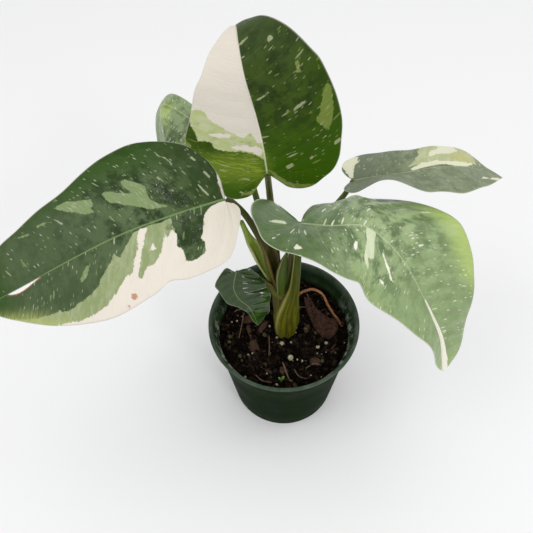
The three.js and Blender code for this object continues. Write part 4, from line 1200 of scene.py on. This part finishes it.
def pierce_pot(pot):
    """Cuts the drain holes through the base."""
    drill = bpy.data.meshes.new("drill")
    points = []
    faces = []
    sides = 32
    angle = np.arange(sides) * 2 * math.pi / sides
    for hole in range(DRAIN_HOLES):
        turn = (hole + 0.5) * 2 * math.pi / DRAIN_HOLES
        x = DRAIN_CIRCLE * math.cos(turn) + DRAIN_RADIUS * np.cos(angle)
        y = DRAIN_CIRCLE * math.sin(turn) + DRAIN_RADIUS * np.sin(angle)
        start = len(points)
        for height in DRILL_ENDS:
            points += np.column_stack([x, y, np.full(sides, height)]).tolist()
        faces += grid_faces(2, sides, start, closed=True).tolist()
        faces.append([start + k for k in reversed(range(sides))])
        faces.append([start + sides + k for k in range(sides)])
    drill.from_pydata((np.array(points) * MM).tolist(), [], faces)
    cutter = bpy.data.objects.new("drill", drill)
    bpy.context.scene.collection.objects.link(cutter)
    cut = pot.modifiers.new("drain_holes", "BOOLEAN")
    cut.operation = "DIFFERENCE"
    cut.solver = "EXACT"
    cut.object = cutter
    dressed = bpy.context.evaluated_depsgraph_get()
    pierced = bpy.data.meshes.new_from_object(pot.evaluated_get(dressed))
    pot.modifiers.clear()
    pot.data = pierced
    bpy.data.objects.remove(cutter)


pierce_pot(pot)

SOIL_EDGE = 47.1
SOIL_FOOT_EDGE = 38.9
SOIL_FLOOR = 2.75
SOIL_MIDDLE = 82
SOIL_DROP = 2.2
SOIL_DROP_REACH = 49.5
CRUMB_LIFT = 1.0
BARK_LIFT = 1.6
MOSS_LIFT = 1.4
PERLITE_LIFT = 1.5


def soil_height(x, y):
    swell = np.sin(x / 2.9 + 1.3) * np.cos(y / 2.6 + 0.4) + 0.7 * np.sin((x + y) / 1.7)
    return SOIL_MIDDLE - SOIL_DROP * (x**2 + y**2) / SOIL_DROP_REACH**2 + 0.55 * swell


def soil_points(rings=120, around=380):
    share = np.arange(1, rings + 1)[:, None] / rings
    angle = np.arange(around) * 2 * math.pi / around
    x = SOIL_EDGE * share * np.cos(angle)
    y = SOIL_EDGE * share * np.sin(angle)
    rough = (0.9 * lumpy(x, y, 3.4, 1) + 0.8 * np.abs(lumpy(x, y, 1.7, 2))
             + 0.45 * lumpy(x, y, 0.8, 3))
    z = soil_height(x, y) + rough * ramp(1.0, 0.93, share)
    top = np.stack([x, y, z], -1)
    foot_x, foot_y = SOIL_FOOT_EDGE * np.cos(angle), SOIL_FOOT_EDGE * np.sin(angle)
    foot = np.stack([foot_x, foot_y, np.full(around, SOIL_FLOOR)], -1)
    points = np.vstack([top.reshape(-1, 3), foot, [0, 0, soil_height(0, 0)], [0, 0, SOIL_FLOOR]])
    faces = grid_faces(rings + 1, around, closed=True, flipped=True).tolist()
    last = (rings + 1) * around
    faces += fan_faces(0, around, last)
    faces += fan_faces(last - around, around, last + 1, flipped=True)
    return points, faces, {"tone": lumpy(points[:, 0], points[:, 1], 2.5, 9)}


soil_finish = crumb_finish("potting_mix", (0.003, 0.0022, 0.0016), (0.01, 0.0068, 0.005),
                           (0.1, 0.068, 0.045), 0.3, 900.0, 0.8, Specular_IOR_Level=0.04)
add_piece("soil_crumbly", soil_points(), soil_finish, replaces=["soil"])


def round_stone(level):
    """Unit sphere from a split icosahedron."""
    golden = (1 + 5**0.5) / 2
    points = [(-1, golden, 0), (1, golden, 0), (-1, -golden, 0), (1, -golden, 0),
              (0, -1, golden), (0, 1, golden), (0, -1, -golden), (0, 1, -golden),
              (golden, 0, -1), (golden, 0, 1), (-golden, 0, -1), (-golden, 0, 1)]
    faces = [(0, 11, 5), (0, 5, 1), (0, 1, 7), (0, 7, 10), (0, 10, 11), (1, 5, 9), (5, 11, 4),
             (11, 10, 2), (10, 7, 6), (7, 1, 8), (3, 9, 4), (3, 4, 2), (3, 2, 6), (3, 6, 8),
             (3, 8, 9), (4, 9, 5), (2, 4, 11), (6, 2, 10), (8, 6, 7), (9, 8, 1)]
    points = [np.array(p, float) / np.linalg.norm(p) for p in points]
    for _ in range(level):
        halves = {}
        finer = []

        def half(i, j):
            key = (min(i, j), max(i, j))
            if key not in halves:
                middle = points[i] + points[j]
                points.append(middle / np.linalg.norm(middle))
                halves[key] = len(points) - 1
            return halves[key]

        for a, b, c in faces:
            ab, bc, ca = half(a, b), half(b, c), half(c, a)
            finer += [(a, ab, ca), (b, bc, ab), (c, ca, bc), (ab, bc, ca)]
        faces = finer
    return np.array(points), faces


stone_points, stone_faces = round_stone(1)
fine_stone_points, fine_stone_faces = round_stone(2)


def lump(centre, sizes, chance, fine=False, crags=0.25, tone=0.0):
    """Craggy lump turned at random."""
    points, faces = (fine_stone_points, fine_stone_faces) if fine else (stone_points, stone_faces)
    dents = 1 + chance.uniform(-crags, crags, len(points))[:, None]
    turn = Matrix.Rotation(chance.uniform(0, 6.28), 3, Vector(unit(chance.normal(size=3))))
    turned = (points * dents * np.asarray(sizes)) @ np.array(turn)
    return turned + np.asarray(centre, float), faces, {"tone": tone}


def flake(centre, sizes, chance, heading=None, tone=0.0):
    """Thin chip that lies nearly flat."""
    dents = 1 + chance.uniform(-0.3, 0.3, len(stone_points))[:, None]
    heading = chance.uniform(0, 6.28) if heading is None else heading
    tilt = Matrix.Rotation(chance.uniform(-0.5, 0.5), 3, "Y")
    turn = np.array(tilt) @ np.array(Matrix.Rotation(-heading, 3, "Z"))
    turned = (np.clip(stone_points * dents, -0.8, 0.8) * np.asarray(sizes)) @ turn
    return turned + np.asarray(centre, float), stone_faces, {"tone": tone}


def on_soil(chance, reach=45.5):
    radius = reach * math.sqrt(chance.random())
    angle = chance.uniform(0, 2 * math.pi)
    x, y = radius * math.cos(angle), radius * math.sin(angle)
    return x, y, soil_height(x, y) + CRUMB_LIFT


def scattered_crumbs(count=1500):
    chance = np.random.default_rng(17)
    parts = []
    for _ in range(count):
        x, y, z = on_soil(chance)
        size = chance.choice([0.5, 0.7, 1.0, 1.5, 2.1], p=[0.3, 0.3, 0.24, 0.12, 0.04])
        z += size * chance.uniform(-0.4, 0.4)
        sizes = size * chance.uniform(0.5, 1.3, 3)
        parts.append(lump((x, y, z), sizes, chance, tone=chance.uniform(-1, 1)))
    return merged(parts)


add_piece("soil_crumbs", scattered_crumbs(), soil_finish)

# Chips of bark seen on the soil, as (x, y, heading, half length, half width), and what is added to
# their size for worn corners
CHIP_MARGIN = 1.15
BARK_CHIPS = [(-21.5, -14, -1.3, 5.5, 3.4), (-24.8, -2.5, -1.25, 7, 1.5), (-24, 9, 0.2, 7, 3.4),
              (-16, 0.5, 0.9, 6.5, 2.2), (-2.6, -33.2, -1.4, 3.4, 1.7), (21.2, -27, -0.3, 4, 3.2),
              (35.5, -18.8, 0.6, 4, 0.8), (34.2, -17, 0.75, 4, 0.7), (17, -1, 1.2, 4, 1.6),
              (-12, -33, -0.5, 3, 1.2), (-14.6, -27.6, -0.8, 2.6, 1)]


def scattered_bark(count=170):
    chance = np.random.default_rng(29)
    parts = []
    for x, y, heading, half_length, half_width in BARK_CHIPS:
        z = soil_height(x, y) + BARK_LIFT
        sizes = (CHIP_MARGIN * half_length, CHIP_MARGIN * half_width, 1)
        parts.append(flake((x, y, z), sizes, chance, heading, 0.6))
    for _ in range(count):
        length = chance.uniform(0.8, 3.2)
        sizes = (length, length * chance.uniform(0.18, 0.5), chance.uniform(0.3, 0.6))
        parts.append(flake(on_soil(chance), sizes, chance, tone=chance.uniform(-1, 1)))
    return merged(parts)


bark_bits_finish = crumb_finish("bark_bits", (0.006, 0.003, 0.002), (0.055, 0.02, 0.011),
                                (0.16, 0.09, 0.06), 0.3, 600.0, 0.4, Specular_IOR_Level=0.2)
add_piece("soil_bark_bits", scattered_bark(), bark_bits_finish)

# Green bits on the soil, as (x, y, size)
MOSS_BITS = [(-39.7, -4.2, 1.5), (-40, -9.1, 1.5), (-14.1, -4.8, 1.7), (15.7, -1.1, 1.5),
             (-32, -20.7, 1.6), (-30.5, -24, 1.6), (36.1, -20.4, 1.3), (26.2, -26.8, 1.6),
             (-10.6, -19.8, 0.9), (23, -4, 1.2)]


def scattered_moss(count=26):
    chance = np.random.default_rng(41)
    parts = []
    for x, y, size in MOSS_BITS:
        sizes = size * chance.uniform(0.7, 1.1, 3)
        parts.append(lump((x, y, soil_height(x, y) + MOSS_LIFT), sizes, chance, True, 0.16))
    for _ in range(count):
        size = chance.uniform(0.4, 1.0)
        parts.append(flake(on_soil(chance), (size * 1.6, size * 0.6, 0.4), chance))
    return merged(parts)


moss_finish = crumb_finish("moss_bits", (0.03, 0.032, 0.012), (0.11, 0.11, 0.04),
                           (0.26, 0.24, 0.11), 0.4, 500.0, 0.3, Specular_IOR_Level=0.2)
add_piece("soil_moss_bits", scattered_moss(), moss_finish)

# Perlite grains seen on the soil, as (x, y, size)
PERLITE = [(-1.7, -11.8, 1.6), (3.8, -23.6, 1.9), (23.9, -15.6, 1.4), (30.3, -12.5, 1.1),
           (-5.1, -7.2, 0.9), (4.8, -11.7, 0.8), (-26.1, -19.5, 0.7), (-23.2, -18.9, 0.7),
           (29.7, -19.8, 0.7), (-28.5, -36.6, 0.9), (-6.6, -43.5, 0.9), (8.5, -25.6, 0.7),
           (11.8, -26.5, 0.9), (17.3, -37.4, 0.6), (-38.2, 7.8, 0.7), (-34.3, 8.7, 0.7),
           (-10.1, 2.2, 0.9), (-13.1, -34.9, 0.7)]


def scattered_perlite(count=40):
    chance = np.random.default_rng(23)
    parts = []
    for x, y, size in PERLITE:
        z = soil_height(x, y) + PERLITE_LIFT
        parts.append(lump((x, y, z), size * chance.uniform(0.75, 1.15, 3), chance, True, 0.22))
    for _ in range(count):
        size = chance.uniform(0.25, 0.5)
        parts.append(lump(on_soil(chance), size * chance.uniform(0.7, 1.3, 3), chance, crags=0.3))
    return merged(parts)


perlite_finish = crumb_finish("perlite_grain", (0.3, 0.25, 0.15), (0.62, 0.56, 0.4),
                              (0.75, 0.71, 0.58), 0.6, 1100.0, 0.3)
add_piece("soil_perlite", scattered_perlite(), perlite_finish)


def twig(route, radius, seed):
    stalk = {"route": route, "radius": [radius, radius * 1.1, radius * 0.8]}
    points, faces, measures = stalk_points(stalk, 10, 0.7, 0.2, seed)
    return points, faces, {"tone": measures["tone"]}


def soil_twigs():
    parts = [
        twig([(-1.7, -27.3, 83.6), (0.1, -34.3, 83.4), (2.1, -40.3, 82.8)], 0.6, 3),
        twig([(2.1, -40.3, 82.8), (3.1, -41.2, 82.9), (4.4, -41.6, 82.8)], 0.7, 2),
        twig([(-29, 12.4, 87), (-30.5, 3.8, 85.6), (-32.7, -6.1, 83.4)], 0.35, 1),
        twig([(-10.9, -6.1, 84.2), (-10.8, -13.5, 84.4), (-11.4, -22, 83.2)], 0.45, 4),
        twig([(18.8, 25.3, 90), (20, 24, 86.5), (21.6, 22, 83)], 0.5, 5),
        twig([(14, -32, 82.6), (20, -29, 83), (25, -30, 82.4)], 0.4, 6),
        twig([(-38, 14, 83), (-34, 17, 84), (-28, 18, 83.2)], 0.4, 7),
        twig([(6, -33, 83), (9, -38, 83), (14, -40, 82.6)], 0.35, 8),
        twig([(-21, -36, 82.6), (-17, -40, 82.8), (-10, -42, 82.6)], 0.4, 9),
        twig([(8, 14, 84), (14, 17, 85), (20, 17, 83.6)], 0.5, 10),
    ]
    return merged(parts)


twig_finish = crumb_finish("dry_twig", (0.05, 0.03, 0.015), (0.16, 0.09, 0.045),
                           (0.35, 0.24, 0.13), 0.7, 800.0, 0.2)
add_piece("soil_twigs", soil_twigs(), twig_finish)

# The bark chip's two long edges, from its far end round to its near one
CHIP_LEFT = [(16, 21), (17.5, 12), (21, 2.6), (26, -6), (32, -9.5), (36.5, -7.5)]
CHIP_RIGHT = [(16, 21), (21, 19.5), (24.5, 14), (29.5, 9), (33.6, 5.4), (38.4, 4), (39.5, -3),
              (36.5, -7.5)]
CHIP_THICKNESS = 3
CHIP_FLOOR = 81.6
CHIP_TILT = 0.26
CHIP_CUP = 0.0105


def chip_points(rows=70, columns=34):
    rails = []
    for rail in (CHIP_LEFT, CHIP_RIGHT):
        line = smooth_curve(rail, 16)
        lengths = running_length(line)
        rails.append(at_lengths(line, lengths, np.linspace(0, lengths[-1], rows)))
    share = np.linspace(0, 1, columns)[:, None]
    flat = rails[0][:, None] * (1 - share) + rails[1][:, None] * share
    x, y = flat[..., 0], flat[..., 1]
    base = CHIP_FLOOR + CHIP_TILT * (y + 8) + CHIP_CUP * (x - 26) ** 2
    ridges = 0.6 * lumpy(4 * x + y, 0.3 * y, 2.2, 31) + 0.35 * lumpy(x, y, 2.2, 32)
    ridges = ridges + 0.25 * lumpy(x, y, 0.9, 33)
    rim = np.minimum(np.arange(columns), np.arange(columns)[::-1]) / columns
    top = base + CHIP_THICKNESS * (0.55 + 0.45 * ramp(0, 0.1, rim)) + ridges
    upper = np.stack([x, y, top], -1)
    lower = np.stack([x, y, base + 0.2], -1)
    both = np.concatenate([upper, lower[:, ::-1]], 1).reshape(-1, 3)
    faces = grid_faces(rows, 2 * columns, closed=True, flipped=True)
    first, kept = welded(both, faces)
    return both[first], kept, {"tone": ridges.mean() + 0 * both[first][:, 0]}


chip_finish = crumb_finish("weathered_bark", (0.014, 0.006, 0.004), (0.08, 0.035, 0.022),
                           (0.2, 0.12, 0.085), 0.35, 450.0, 1.0, Specular_IOR_Level=0.2)
add_piece("bark_chip_weathered", chip_points(), chip_finish, replaces=["bark_chip"])

SEEDLING_FOOT = (-3.4, -41.2, 80)
SEEDLING_TOP = 84.5


def seed_leaf(turn, rows=14, columns=9):
    """Small cupped leaf that leans out from the seedling's top."""
    step = np.linspace(0, 1, rows)
    width = 1.15 * np.sqrt(np.sin(math.pi * np.clip(step, 0.02, 0.98)))
    side = np.linspace(-1, 1, columns)
    out = 1.9 * step[:, None] ** 1.3 + 0 * side
    across = width[:, None] * side
    rise = 4.2 * step[:, None] + 0.18 * across**2
    top = np.stack([out, across, rise + 0.25], -1)
    both = np.concatenate([top, (top + [0.3, 0, -0.1])[:, ::-1]], 1).reshape(-1, 3)
    spin = np.array(Matrix.Rotation(-turn, 3, "Z"))
    placed = both @ spin + np.array([SEEDLING_FOOT[0], SEEDLING_FOOT[1], SEEDLING_TOP])
    around = 2 * columns
    faces = grid_faces(rows, around, closed=True, flipped=True).tolist()
    faces += [list(range(around)), [(rows - 1) * around + k for k in reversed(range(around))]]
    return placed, faces, {"tone": 0.0}


x, y, z = SEEDLING_FOOT
shoot = twig([(x, y, z), (x + 0.1, y, z + 2.4), (x, y, SEEDLING_TOP + 0.4)], 0.35, 8)
seedling_finish = crumb_finish("seedling_green", (0.09, 0.2, 0.02), (0.18, 0.36, 0.05),
                               (0.35, 0.5, 0.12), 0.3, 400.0, 0.1)
add_piece("seedling_fresh", merged([shoot, seed_leaf(0.3), seed_leaf(3.3)]),
          seedling_finish, replaces=["seedling"])


def water_finish():
    """Clear water."""
    material, _, shader = new_finish("clear_water")
    shader.inputs["Base Color"].default_value = (1, 1, 1, 1)
    shader.inputs["Roughness"].default_value = 0.02
    shader.inputs["IOR"].default_value = 1.33
    shader.inputs["Transmission Weight"].default_value = 1.0
    return material


add_piece("water_drops", water_drops(), water_finish())


def pale_floor():
    """Plain tabletop under the pot."""
    mesh = bpy.data.meshes.new("floor")
    reach = 6.0
    corners = [(-reach, -reach, 0), (reach, -reach, 0), (reach, reach, 0), (-reach, reach, 0)]
    mesh.from_pydata(corners, [], [(0, 1, 2, 3)])
    material, _, shader = new_finish("pale_floor")
    shader.inputs["Base Color"].default_value = (0.855, 0.855, 0.862, 1)
    shader.inputs["Roughness"].default_value = 0.6
    mesh.materials.append(material)
    floor = bpy.data.objects.new("floor", mesh)
    bpy.context.scene.collection.objects.link(floor)


pale_floor()


def add_light(name, place, target, size, power):
    lamp = bpy.data.lights.new(name, "AREA")
    lamp.shape = "DISK"
    lamp.size = size
    lamp.energy = power
    held = bpy.data.objects.new(name, lamp)
    held.location = place
    aim = Vector(target) - Vector(place)
    held.rotation_euler = aim.to_track_quat("-Z", "Y").to_euler()
    bpy.context.scene.collection.objects.link(held)


PLANT_MIDDLE = (0, 0, 0.16)
add_light("softbox_left", (-0.65, -0.23, 1.26), PLANT_MIDDLE, 0.6, 2.6)
add_light("softbox_right", (1.15, 0.2, 1.3), PLANT_MIDDLE, 0.7, 2.2)
add_light("softbox_back", (0.1, 0.4, 1.8), PLANT_MIDDLE, 1.0, 1.6)
add_light("window", (0.5, -0.76, 0.9), PLANT_MIDDLE, 0.22, 1.6)

world = bpy.data.worlds.new("studio")
world.use_nodes = True
world.node_tree.nodes["Background"].inputs["Color"].default_value = (1, 1, 1, 1)
world.node_tree.nodes["Background"].inputs["Strength"].default_value = 0.86
bpy.context.scene.world = world
bpy.context.scene.view_settings.view_transform = "Standard"

CAMERA_PLACE = (-11, -199.1, 429.7)
CAMERA_TARGET = (-11, 0, 160.7)
CAMERA_ROLL = -1.94
FRAME_SIDE = 533
FOCAL_PIXELS = 540
SENSOR_WIDTH = 36


def add_camera():
    data = bpy.data.cameras.new("camera")
    data.sensor_width = SENSOR_WIDTH
    data.lens = SENSOR_WIDTH * FOCAL_PIXELS / FRAME_SIDE
    data.clip_start = 0.01
    data.clip_end = 20
    camera = bpy.data.objects.new("camera", data)
    forward = unit(np.subtract(CAMERA_TARGET, CAMERA_PLACE).astype(float))
    right = unit(np.cross(forward, (0, 0, 1)))
    up = np.cross(right, forward)
    roll = math.radians(CAMERA_ROLL)
    rolled_right = math.cos(roll) * right + math.sin(roll) * up
    rolled_up = math.cos(roll) * up - math.sin(roll) * right
    pose = Matrix.Identity(4)
    for k in range(3):
        pose[k][0], pose[k][1], pose[k][2] = rolled_right[k], rolled_up[k], -forward[k]
        pose[k][3] = CAMERA_PLACE[k] * MM
    camera.matrix_world = pose
    bpy.context.scene.collection.objects.link(camera)
    bpy.context.scene.camera = camera


add_camera()
